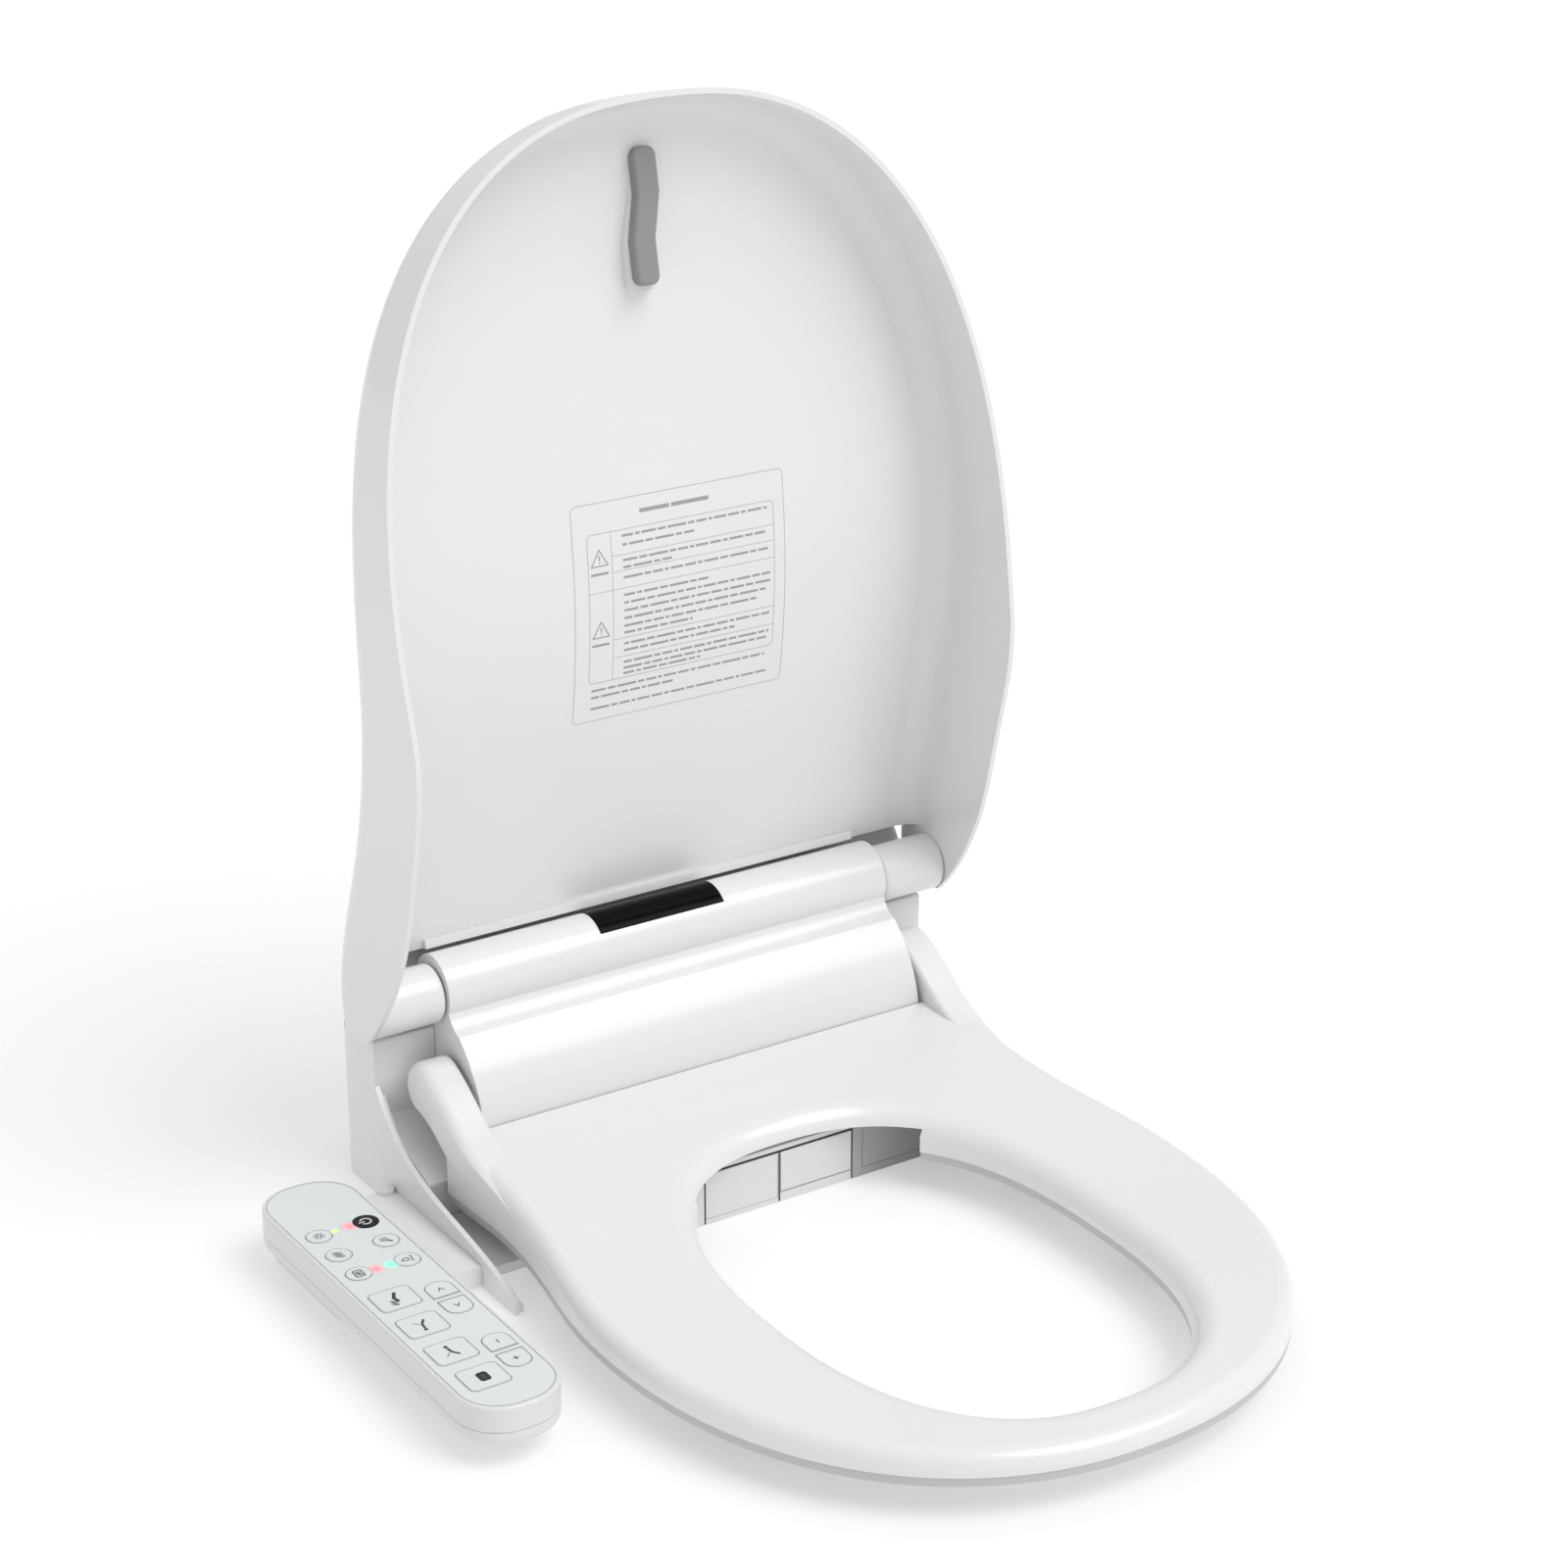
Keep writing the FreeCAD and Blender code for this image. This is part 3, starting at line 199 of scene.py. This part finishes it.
MATERIALS = {
    "cover": plastic("gloss_white_cover", WHITE, 0.26, coat=0.2),
    "base_plastic": plastic("satin_white_base", SATIN_WHITE, 0.42, grain=0.3),
    "lid_plastic": plastic("gloss_white_lid", WHITE, 0.26, coat=0.2),
    "seat_plastic": plastic("gloss_white_seat", WHITE, 0.24, coat=0.25),
    # The seat base's mid grey is painted shade for the seat's dark lower rim; it is not the plastic's own
    # colour
    "seat_underside": plastic("seat_base_painted_shade", (0.52, 0.52, 0.52), 0.45, grain=0.3),
    "grey_rubber": plastic("grey_rubber", (0.27, 0.27, 0.262), 0.62, grain=0.4, mottle=0.05),
    "window": plastic("smoked_window", (0.002, 0.002, 0.0025), 0.14, grain=0.02, shine=0.05),
    "nozzle_door": plastic("satin_white_door", DOOR_WHITE, 0.38, grain=0.25),
    "nozzle": plastic("gloss_white_nozzle", SATIN_WHITE, 0.2, coat=0.3),
    "mechanism": plastic("dark_grey_mechanism", (0.12, 0.125, 0.13), 0.5, grain=0.4, mottle=0.06),
    "board": plastic("green_circuit_board", (0.02, 0.16, 0.05), 0.35, grain=0.2, mottle=0.2),
    "tank": plastic("black_tank", (0.05, 0.05, 0.055), 0.45, grain=0.4, mottle=0.08),
    "motor_metal": metal("motor_steel", (0.52, 0.52, 0.53), 0.36),
    "heater_metal": metal("heater_wire", (0.62, 0.56, 0.48), 0.4),
    "brass": metal("turned_brass", (0.60, 0.43, 0.19), 0.3, stretch=(1.0, 30.0, 1.0)),
    "foil": metal("heater_foil", (0.75, 0.75, 0.76), 0.35, stretch=(1.0, 1.0, 1.0)),
    "damper": plastic("grey_damper", (0.10, 0.10, 0.11), 0.4, mottle=0.05),
    "screw": metal("zinc_screw", (0.55, 0.55, 0.56), 0.35),
    "plate": plastic("textured_plate", (0.60, 0.60, 0.59), 0.55, grain=0.6, grain_scale=700.0),
    "panel_case": plastic("gloss_white_panel_case", (0.71, 0.71, 0.715), 0.28, coat=0.2),
    "panel_film": plastic("pale_grey_film", FILM, 0.42, grain=0.35, grain_scale=2200.0),
    "key_grey": plastic("pale_grey_key_film", FILM, 0.42, grain=0.35, grain_scale=2200.0),
    "key_black": plastic("black_key", (0.008, 0.008, 0.009), 0.35, shine=0.2),
    "led": plastic("lamp_lens", (0.75, 0.78, 0.74), 0.3),
    "gland": plastic("black_rubber_gland", (0.03, 0.03, 0.03), 0.6, grain=0.4),
    "button": plastic("satin_white_button", (0.68, 0.68, 0.68), 0.4, grain=0.3),
}
# Nodes whose look differs from the rest of their slot: the bay's front wall and the dryer flap carry
# painted shade that deepens to the right.
OWN_LOOK = {
    "nozzle_fascia": painted_shade_plastic("fascia_painted_shade", DOOR_WHITE),
    "dryer_flap": painted_shade_plastic("dryer_flap_painted_shade", PAINTED_SHADE_GREY),
}
INK = plastic("dark_print", (0.035, 0.036, 0.038), 0.5, grain=0.2, mottle=0.1)
PALE_INK = plastic("grey_print", (0.33, 0.345, 0.35), 0.5, grain=0.2, mottle=0.08)
SOFT_INK = plastic("soft_grey_print", (0.46, 0.46, 0.465), 0.5, grain=0.2, mottle=0.08)
WHITE_INK = plastic("white_print", (0.74, 0.75, 0.76), 0.45, grain=0.2, mottle=0.04)
JOINT = plastic("dark_joint", (0.012, 0.012, 0.013), 0.6, grain=0.2, mottle=0.05)
CARD = plastic("white_card", WHITE, 0.5, grain=0.25, mottle=0.01)


def smooth(mesh):
    """Smooth shading that keeps the mesh's edges."""
    for face in mesh.polygons:
        face.use_smooth = True
    mesh.set_sharp_from_angle(angle=ROUND_ANGLE)


def dress_cad_nodes():
    """Give every CAD node its material and smooth its curved faces."""
    for part in frame["record"]["subparts"]:
        node = NODES[part["node"]]
        look = OWN_LOOK.get(part["node"], MATERIALS[part["material_slot"]])
        node.data.materials.clear()
        node.data.materials.append(look)
        smooth(node.data)


# ---- printed marks -----------------------------------------------------------
def mesh_piece(name, points, faces, material, body):
    """A new piece in world coordinates (metres), riding on a CAD body."""
    mesh = bpy.data.meshes.new(name)
    mesh.from_pydata(points, [], faces)
    mesh.update()
    piece = bpy.data.objects.new(name, mesh)
    bpy.context.scene.collection.objects.link(piece)
    mesh.materials.append(material)
    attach(piece, body)
    return piece


def edge_lines(path, width, closed):
    """The left and right edges of a stroke along a path of (u, v) points, mitred."""
    count = len(path)
    left, right = [], []
    for i, here in enumerate(path):
        before = path[i - 1] if (i or closed) else here
        after = path[(i + 1) % count] if (i < count - 1 or closed) else here
        a = Vector(here) - Vector(before)
        b = Vector(after) - Vector(here)
        a = a.normalized() if a.length > 1e-9 else b.normalized()
        b = b.normalized() if b.length > 1e-9 else a
        along = (a + b).normalized() if (a + b).length > 1e-6 else a
        side = Vector((-along.y, along.x)) * (width / 2 / max(0.5, along.dot(a)))
        left.append(Vector(here) + side)
        right.append(Vector(here) - side)
    return left, right


class Print:
    """Collects strokes and filled shapes, then lays them as one thin raised ink layer."""

    def __init__(self, place):
        self.place = place          # (u, v, height) in mm to a world point in metres
        self.points = []
        self.faces = []

    def stroke(self, path, width, closed=False):
        """A thin solid line along a path; a closed one runs round to its start."""
        left, right = edge_lines(path, width, closed)
        start = len(self.points)
        for u, v in left + right:
            self.points += [self.place(u, v, INK_HIGH), self.place(u, v, INK_LOW)]
        count = len(left)
        middle = start + 2 * count
        for i in range(count if closed else count - 1):
            j = (i + 1) % count
            lt, lb, nt, nb = start + 2 * i, start + 2 * i + 1, start + 2 * j, start + 2 * j + 1
            rt, rb, mt, mb = middle + 2 * i, middle + 2 * i + 1, middle + 2 * j, middle + 2 * j + 1
            self.faces += [(lt, rt, mt, nt), (lb, nb, mb, rb), (lt, nt, nb, lb), (rt, rb, mb, mt)]
        if not closed:
            end_l, end_r = start + 2 * (count - 1), middle + 2 * (count - 1)
            self.faces.append((start, start + 1, middle + 1, middle))
            self.faces.append((end_l, end_r, end_r + 1, end_l + 1))

    def disc(self, u, v, radius, count=24):
        self.stroke(arc(u, v, radius / 2, 0, 360, count)[:-1], radius, closed=True)

    def bar(self, u0, u1, v0, v1):
        mid = (v0 + v1) / 2
        self.stroke([(u0, mid), (u1, mid)], v1 - v0)

    def piece(self, name, material, body, slot):
        return mesh_piece(name, self.points, self.faces, material, body)


def arc(u, v, radius, start, end, count=16):
    out = []
    for i in range(count + 1):
        t = math.radians(start + (end - start) * i / count)
        out.append((u + radius * math.cos(t), v + radius * math.sin(t)))
    return out


def round_box(u0, u1, v0, v1, radius, count=5):
    """A closed path round a box with rounded corners."""
    return (arc(u1 - radius, v1 - radius, radius, 0, 90, count)
            + arc(u0 + radius, v1 - radius, radius, 90, 180, count)
            + arc(u0 + radius, v0 + radius, radius, 180, 270, count)
            + arc(u1 - radius, v0 + radius, radius, 270, 360, count))


def wave(u0, v0, u1, v1, swing, count=10):
    """A path from one point to another that swings once to each side."""
    out = []
    length = math.hypot(u1 - u0, v1 - v0)
    nu, nv = -(v1 - v0) / length, (u1 - u0) / length
    for i in range(count + 1):
        t = i / count
        side = swing * math.sin(2 * math.pi * t)
        out.append((u0 + (u1 - u0) * t + nu * side, v0 + (v1 - v0) * t + nv * side))
    return out


def subdivide(path, step, closed=False):
    """The same path with points no more than a step apart."""
    out = []
    ends = path[1:] + ([path[0]] if closed else [])
    for (u0, v0), (u1, v1) in zip(path, ends):
        parts = max(1, math.ceil(math.hypot(u1 - u0, v1 - v0) / step))
        out += [(u0 + (u1 - u0) * i / parts, v0 + (v1 - v0) * i / parts) for i in range(parts)]
    return out if closed else out + [path[-1]]


# Signs on the keys, in mm about the key's centre. u runs towards the back of the seat and v
# away from it, to the panel's outer side.
def sign_power(ink):
    ink.stroke(arc(0, 0, 3.0, 125, 415), 0.8)
    ink.stroke([(0, 0.6), (0, 4.0)], 0.8)


def sign_eco(ink):
    ink.stroke(arc(1.0, 0.8, 1.8, 0, 360)[:-1], 0.5, closed=True)
    ink.disc(1.0, 0.8, 0.6, 12)
    ink.stroke([(-0.5, -0.6), (-2.6, -2.6)], 1.1)


def sign_water(ink):
    drop = [(0, 3.4), (-1.5, 0.9), (-1.3, -0.3), (0, -1.0), (1.3, -0.3), (1.5, 0.9)]
    ink.stroke(drop, 0.5, closed=True)
    ink.stroke(wave(-3.2, -2.6, 3.2, -2.6, 0.5), 0.55)


def sign_light(ink):
    ink.stroke(arc(0, 0, 1.5, 0, 360)[:-1], 0.5, closed=True)
    for i in range(8):
        t = math.radians(45 * i)
        ink.stroke([(2.2 * math.cos(t), 2.2 * math.sin(t)), (3.3 * math.cos(t), 3.3 * math.sin(t))], 0.5)


def sign_clean(ink):
    for i in range(4):
        ink.stroke(wave(-2.7 + 1.5 * i, -2.2, -1.6 + 1.5 * i, 2.6, 0.5), 0.6)


def sign_seat(ink):
    ink.stroke(round_box(-3.4, 3.4, -2.4, 2.4, 1.0, 4), 0.6, closed=True)
    for u in (-1.5, 0.0, 1.5):
        ink.stroke(wave(u, -1.5, u, 1.6, 0.35), 0.7)


def sign_arrow(ink, way):
    ink.stroke([(-1.8 * way, 1.6), (1.0 * way, 0), (-1.8 * way, -1.6)], 0.55)


def sign_minus(ink):
    ink.stroke([(-1.7, 0), (1.7, 0)], 0.6)


def sign_plus(ink):
    sign_minus(ink)
    ink.stroke([(0, -1.7), (0, 1.7)], 0.6)


def sign_dry(ink):
    for i in range(3):
        ink.stroke(wave(-6.2 + 1.7 * i, 0.6, -5.4 + 1.7 * i, 3.8, 0.35), 0.8)
    ink.stroke([(-3.6, -0.6), (0.6, 0.4), (5.8, -2.2)], 1.9)


def sign_jet(ink, way):
    """A bent seat line with a jet of drops that rises to it."""
    ink.disc(-5.0 * way, 0.8, 1.1, 14)
    ink.stroke([(-3.6 * way, 0.6), (0.4 * way, 0.2), (4.4 * way, -2.6)], 1.3)
    for i in range(3):
        ink.disc((1.2 + 1.1 * i) * way, 2.0 + 0.9 * i, 0.4, 8)


def sign_stop(ink):
    ink.stroke(round_box(-3.4, 3.4, -2.3, 2.3, 1.0, 3), 1.6, closed=True)
    ink.bar(-3.2, 3.2, -1.9, 1.9)


SIGNS = {
    "key_power": (sign_power,), "key_eco": (sign_eco,), "key_water_temp": (sign_water,),
    "key_light": (sign_light,), "key_clean": (sign_clean,), "key_seat_temp": (sign_seat,),
    "key_position_back": (sign_arrow, 1), "key_position_forward": (sign_arrow, -1),
    "key_pressure_less": (sign_minus,), "key_pressure_more": (sign_plus,),
    "key_dry": (sign_dry,), "key_rear": (sign_jet, 1), "key_front": (sign_jet, -1),
    "key_stop": (sign_stop,),
}
# Halves of the split keys: 1 is the half towards the back of the seat, -1 the other.
SPLIT_KEYS = {"key_position_back": 1, "key_position_forward": -1,
              "key_pressure_less": 1, "key_pressure_more": -1}


def panel_place(x, y, top):
    """Lays panel artwork: u runs along +Y and v along -X from (x, y) in mm."""
    return lambda u, v, height: ((x - v) * MM, (y + u) * MM, top + height * MM)


def key_place(node):
    """Lays artwork about a key's centre, and gives its half lengths along u and v in mm."""
    low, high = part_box(node)
    centre = [(a + b) / 2 / MM for a, b in zip(low, high)]
    half = [(b - a) / 2 / MM for a, b in zip(low, high)]
    return panel_place(centre[0], centre[1], high[2]), half[1], half[0]


def split_outline(w, h, way):
    """Half of a split key's outline: square at the joint, round at its outer end."""
    radius = h - 0.8
    turn = 90 - 90 * way
    steps = 16
    path = [(-w * way, -h * way)]
    for i in range(steps):
        angle = math.radians(turn - 90 + 12 * i)
        side = -way if i < steps // 2 else way
        path.append((way * (w - radius) + radius * math.cos(angle),
                     side * (h - radius) + radius * math.sin(angle)))
    path.append((-w * way, h * way))
    return path


def key_outline(node, place, w, h):
    """The fine printed line round a key; a split key also has a line at its joint."""
    outline = Print(place)
    if node in SPLIT_KEYS:
        way = SPLIT_KEYS[node]
        outline.stroke(split_outline(w, h, way), KEY_LINE)
        divider = Print(place)
        divider.bar(*sorted((-way * (w + 0.2), -way * (w - 0.7))), -h, h)
        divider.piece(f"divider_{node}", PALE_INK, node, "key_grey")
    elif abs(w - h) < 0.5:
        outline.stroke(arc(0, 0, w, 0, 360, 48)[:-1], KEY_LINE, closed=True)
    else:
        outline.stroke(round_box(-w, w, -h, h, KEY_CORNER), KEY_LINE, closed=True)
    outline.piece(f"outline_{node}", PALE_INK, node, "key_grey")


def panel_signs():
    for node, (draw, *way) in SIGNS.items():
        place, half_u, half_v = key_place(node)
        ink = Print(place)
        draw(ink, *way)
        black_key = node == "key_power"
        ink.piece(f"sign_{node}", WHITE_INK if black_key else INK, node, "key_black")
        if not black_key:
            key_outline(node, place, half_u - KEY_INSET, half_v - KEY_INSET)


def film_outline():
    """The fine printed line round the panel's film."""
    low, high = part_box("panel_overlay")
    mid_x, mid_y = (low[0] + high[0]) / 2 / MM, (low[1] + high[1]) / 2 / MM
    half_v = (high[0] - low[0]) / 2 / MM - FILM_INSET
    half_u = (high[1] - low[1]) / 2 / MM - FILM_INSET
    line = Print(panel_place(mid_x, mid_y, high[2]))
    line.stroke(round_box(-half_u, half_u, -half_v, half_v, FILM_CORNER, 14), 0.35, closed=True)
    line.piece("film_outline", PALE_INK, "base", "key_grey")


def glow_disc(radius):
    """Points and faces of a thin closed disc about its own origin, flat below."""
    points = [(0, 0, GLOW_THICK)]
    for ring in range(1, GLOW_RINGS + 1):
        reach = radius * ring / GLOW_RINGS
        height = GLOW_THICK if ring < GLOW_RINGS else 0.0
        for i in range(GLOW_RIM):
            turn = 2 * math.pi * i / GLOW_RIM
            points.append((reach * math.cos(turn), reach * math.sin(turn), height))
    below = len(points)
    edge = below - GLOW_RIM
    points.append((0, 0, 0))
    faces = []
    for i in range(GLOW_RIM):
        j = (i + 1) % GLOW_RIM
        faces += [(0, 1 + i, 1 + j), (edge + j, edge + i, below)]
        for ring in range(1, edge, GLOW_RIM):
            outer = ring + GLOW_RIM
            faces.append((ring + i, outer + i, outer + j, ring + j))
    return points, faces


def lamps():
    """The four indicator lamps, lit: a soft glow on the film around each lens."""
    film_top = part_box("panel_overlay")[1][2]
    red, rose = (1.0, 0.16, 0.20), (1.0, 0.18, 0.22)
    lime, green = (0.62, 0.95, 0.12), (0.16, 0.95, 0.50)
    # colour, place on the panel in mm, and size against a full glow
    lit = {"power": (red, -242.0, -76.0, 1.0), "light": (lime, -251.0, -76.5, 0.5),
           "water": (green, -242.0, -124.0, 1.0), "seat": (rose, -251.0, -124.0, 1.0)}
    for name, (colour, x, y, size) in lit.items():
        reach = GLOW_R * size
        points, faces = glow_disc(reach)
        look = lamp_glow(f"glow_{name}", colour, reach)
        glow = mesh_piece(f"lamp_{name}", points, faces, look, "base")
        glow.location = (x * MM, y * MM, film_top + GLOW_THICK)


# ---- notice card inside the lid --------------------------------------------------
# Places are (x, z) in mm on the open lid, as seen from the front.
CARD_LEFT, CARD_RIGHT, CARD_LOW, CARD_HIGH = -58.0, 80.0, 258.0, 386.0
CARD_CELLS = 24
CARD_THICK = 0.06
BOX_LEFT, BOX_RIGHT, BOX_LOW, BOX_HIGH = -48.0, 72.0, 282.0, 368.0
BOX_COLUMN = -33.0              # a ruled line between the triangles and the rows
FOLLOW = 6.0                    # print follows the curved lid in steps of this, in mm
SMALL_PRINT = 1.35              # height of a row of dashes
DASHES = (7.0, 3.0, 9.0, 5.0, 12.0, 4.0, 6.5, 2.4, 8.0)
DASH_GAP = 1.3

# Each row's height on the card and the place where it ends.
BOX_ROWS = ((364.5, 68), (359.5, 20), (350.8, 66), (346.8, 5), (341.0, 69),
            (331.0, 30), (326.5, 69), (322.0, 69), (317.5, 68), (313.0, 62), (309.0, 18),
            (302.5, 69), (298.5, 46), (291.5, 69), (287.8, 69), (284.6, 24))
FOOT_ROWS = ((277.5, 67), (273.3, 8), (266.5, 69))


def lid_face():
    """Lays artwork on the lid's inner face, at a height towards the front."""
    data = NODES["lid_shell"].data
    corners = [v.co for v in data.vertices]
    tree = BVHTree.FromPolygons(corners, [tuple(p.vertices) for p in data.polygons])

    def place(x, z, height):
        in_front = Vector((x * MM, -0.5, z * MM))
        hit = tree.ray_cast(in_front, Vector((0, 1, 0)))[0]
        return tuple(hit + Vector((0, -height * MM, 0)))
    return place


def card_sheet(place):
    """The thin card itself, which follows the lid."""
    wide, tall = CARD_RIGHT - CARD_LEFT, CARD_HIGH - CARD_LOW
    row = CARD_CELLS + 1
    steps = [i / CARD_CELLS for i in range(row)]
    points, faces = [], []
    for height in (CARD_THICK, 0.0):
        points += [place(CARD_LEFT + wide * s, CARD_LOW + tall * t, height) for t in steps for s in steps]
    layer = row * row
    for j in range(CARD_CELLS):
        for i in range(CARD_CELLS):
            a = j * row + i
            b, c, d = a + 1, a + row + 1, a + row
            faces += [(a, b, c, d), (layer + d, layer + c, layer + b, layer + a)]
    up_and_along = range(CARD_CELLS)
    back = range(CARD_CELLS, 0, -1)
    rim = list(up_and_along) + [CARD_CELLS + j * row for j in up_and_along]
    rim += [CARD_CELLS * row + i for i in back] + [j * row for j in back]
    for a, b in zip(rim, rim[1:] + rim[:1]):
        faces.append((b, a, layer + a, layer + b))
    card = mesh_piece("notice_card", points, faces, CARD, "lid")
    smooth(card.data)


def card_lines(place):
    """The card's ruled lines: its frame, and a box with a column and rows."""
    lines = Print(place)
    frame_path = round_box(CARD_LEFT + 1, CARD_RIGHT - 1, CARD_LOW + 1, CARD_HIGH - 1, 3.0)
    box_path = round_box(BOX_LEFT, BOX_RIGHT, BOX_LOW, BOX_HIGH, 3.0)
    for path in (frame_path, box_path):
        lines.stroke(subdivide(path, FOLLOW, True), 0.45, closed=True)
    rules = [((BOX_COLUMN, BOX_LOW), (BOX_COLUMN, BOX_HIGH)), ((BOX_LEFT, 335.0), (BOX_RIGHT, 335.0))]
    rules += [((BOX_COLUMN, z), (BOX_RIGHT, z)) for z in (306.0, 295.0, 345.0, 354.0)]
    for rule in rules:
        lines.stroke(subdivide(list(rule), FOLLOW), 0.4)
    lines.piece("notice_lines", SOFT_INK, "lid", "grey_rubber")


def dash_row(ink, x0, x1, z, high, dashes):
    """A row of short dashes that stands for a line of small print."""
    x = x0
    i = 0
    while x < x1 - 1.0:
        length = min(dashes[i % len(dashes)], x1 - x)
        ink.stroke(subdivide([(x, z), (x + length, z)], FOLLOW), high)
        x += length + DASH_GAP
        i += 1


def card_print(place):
    """Rows of dashes under a heading, and two plain triangles beside them."""
    ink = Print(place)
    dash_row(ink, -14.0, 31.0, 376.5, 2.2, (19.0, 24.0))
    for k, (z, end) in enumerate(BOX_ROWS):
        dash_row(ink, -26.0, end, z, SMALL_PRINT, DASHES[k % 5:] + DASHES[:k % 5])
    for k, (z, end) in enumerate(FOOT_ROWS):
        dash_row(ink, -46.0, end, z, SMALL_PRINT, DASHES[k + 2:] + DASHES[:k + 2])
    middle = -40.8
    for z in (350.0, 309.0):
        triangle = [(-46.0, z), (-35.6, z), (middle, z + 9.0)]
        ink.stroke(subdivide(triangle, 5.0, True), 0.7, closed=True)
        ink.stroke([(middle, z + 2.9), (middle, z + 5.8)], 0.8)
        ink.stroke([(middle, z + 1.3), (middle, z + 2.0)], 0.8)
        dash_row(ink, -46.5, -35.0, z - 4.5, SMALL_PRINT, (11.0,))
    ink.piece("notice_print", PALE_INK, "lid", "grey_rubber")


def notice_card():
    place = lid_face()
    card_sheet(place)
    card_lines(place)
    card_print(place)


# ---- gaps round the nozzle doors -------------------------------------------------
def door_gaps():
    """Dark joints round the two nozzle doors, lying on the bay's front wall."""
    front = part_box("nozzle_fascia")[0][1]
    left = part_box("nozzle_door_rear")[0][0] / MM + PIN_REACH
    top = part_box("nozzle_door_rear")[1][2] / MM
    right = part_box("nozzle_door_front")[1][0] / MM - PIN_REACH
    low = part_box("nozzle_door_front")[0][2] / MM
    middle = (left + right) / 2
    foot = 0.4                      # where the joints start, in mm above the floor
    place = lambda u, v, height: (u * MM, front - height * MM, v * MM)
    joint = Print(place)
    joint.bar(left - 1.0, right + 1.0, top + 0.1, top + 1.4)
    joint.bar(left - 1.0, left - 0.1, foot, top + 0.1)
    joint.bar(middle - 0.5, middle + 0.5, foot, top + 0.1)
    joint.bar(right + 0.1, right + 1.0, foot, top + 0.1)
    joint.piece("door_joints", JOINT, "base", "gland")
    under = Print(place)
    under.bar(middle + 0.5, right + 0.1, low - 0.8, low - 0.1)
    under.piece("door_sill_joint", PALE_INK, "base", "gland")


# ---- marks on the rear ---------------------------------------------------------
def rear_marks():
    """Air slots and a blank rating plate on the back of the housing."""
    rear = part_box("housing_top_cover")[1][1]
    place = lambda u, v, height: (-u * MM, rear + height * MM, v * MM)
    slots = Print(place)
    for k in range(11):
        u = -100 + 8 * k
        slots.stroke(round_box(u - 1.3, u + 1.3, 52, 76, 1.2, 4), 0.9, closed=True)
        slots.stroke([(u, 53), (u, 75)], 1.9)
    slots.piece("rear_air_slots", INK, "base", "gland")
    plate = Print(place)
    plate.bar(28, 82, 50, 78)
    plate.piece("rating_plate", CARD, "base", "cover")
    rule = Print(lambda u, v, height: place(u, v, height + 0.08))
    rule.stroke(round_box(29.5, 80.5, 51.5, 76.5, 2.0), 0.35, closed=True)
    for v, end in ((71.0, 62.0), (66.5, 76.0), (62.0, 70.0), (57.5, 74.0)):
        rule.stroke([(34.0, v), (end, v)], 0.8)
    rule.piece("rating_plate_lines", SOFT_INK, "base", "grey_rubber")


# ---- stage, light and camera ------------------------------------------------
def floor():
    mesh = bpy.data.meshes.new("floor")
    sides = ((-1, -1), (1, -1), (1, 1), (-1, 1))
    corners = [(x * FLOOR_HALF, y * FLOOR_HALF, -FLOOR_DROP) for x, y in sides]
    mesh.from_pydata(corners, [], [(0, 1, 2, 3)])
    sheet = bpy.data.objects.new("floor", mesh)
    bpy.context.scene.collection.objects.link(sheet)
    material = plastic("pale_floor", (0.62, 0.62, 0.62), 0.9, grain=0.1, mottle=0.004, shine=0.0)
    principled = material.node_tree.nodes["Principled BSDF"]
    principled.inputs["Emission Color"].default_value = (1, 1, 1, 1)
    principled.inputs["Emission Strength"].default_value = FLOOR_LIGHT
    mesh.materials.append(material)


def soft_sun(name, toward_light, spread, strength):
    """A far softbox: even light over the whole stage."""
    data = bpy.data.lights.new(name, "SUN")
    data.angle = math.radians(spread)
    data.energy = strength
    lamp = bpy.data.objects.new(name, data)
    lamp.rotation_euler = Vector(toward_light).to_track_quat("Z", "Y").to_euler()
    bpy.context.scene.collection.objects.link(lamp)


def lights():
    world = bpy.data.worlds.new("studio")
    world.use_nodes = True
    background = world.node_tree.nodes["Background"]
    background.inputs["Color"].default_value = (1, 1, 1, 1)
    background.inputs["Strength"].default_value = WORLD_LIGHT
    bpy.context.scene.world = world
    soft_sun("key", (0.30, -0.50, 0.81), 40, 1.35)
    soft_sun("top", (0.20, 0.05, 1.0), 80, 0.25)


def camera():
    """Looks down at the seat from the front, on the control panel's side."""
    azimuth = math.radians(-33.2)
    elevation = math.radians(22.2)
    distance = 2.010
    aim = Vector((0.0689, -0.0235, 0.2031))
    back = Vector((math.sin(azimuth) * math.cos(elevation),
                   -math.cos(azimuth) * math.cos(elevation), math.sin(elevation)))
    data = bpy.data.cameras.new("camera")
    data.sensor_width = 36.0
    data.lens = 80.82
    lens = bpy.data.objects.new("camera", data)
    lens.location = aim + back * distance
    lens.rotation_euler = (math.pi / 2 - elevation, 0, azimuth)
    bpy.context.scene.collection.objects.link(lens)
    bpy.context.scene.camera = lens
    bpy.context.scene.view_settings.view_transform = "Standard"


dress_cad_nodes()
panel_signs()
film_outline()
lamps()
notice_card()
door_gaps()
rear_marks()
floor()
lights()
camera()
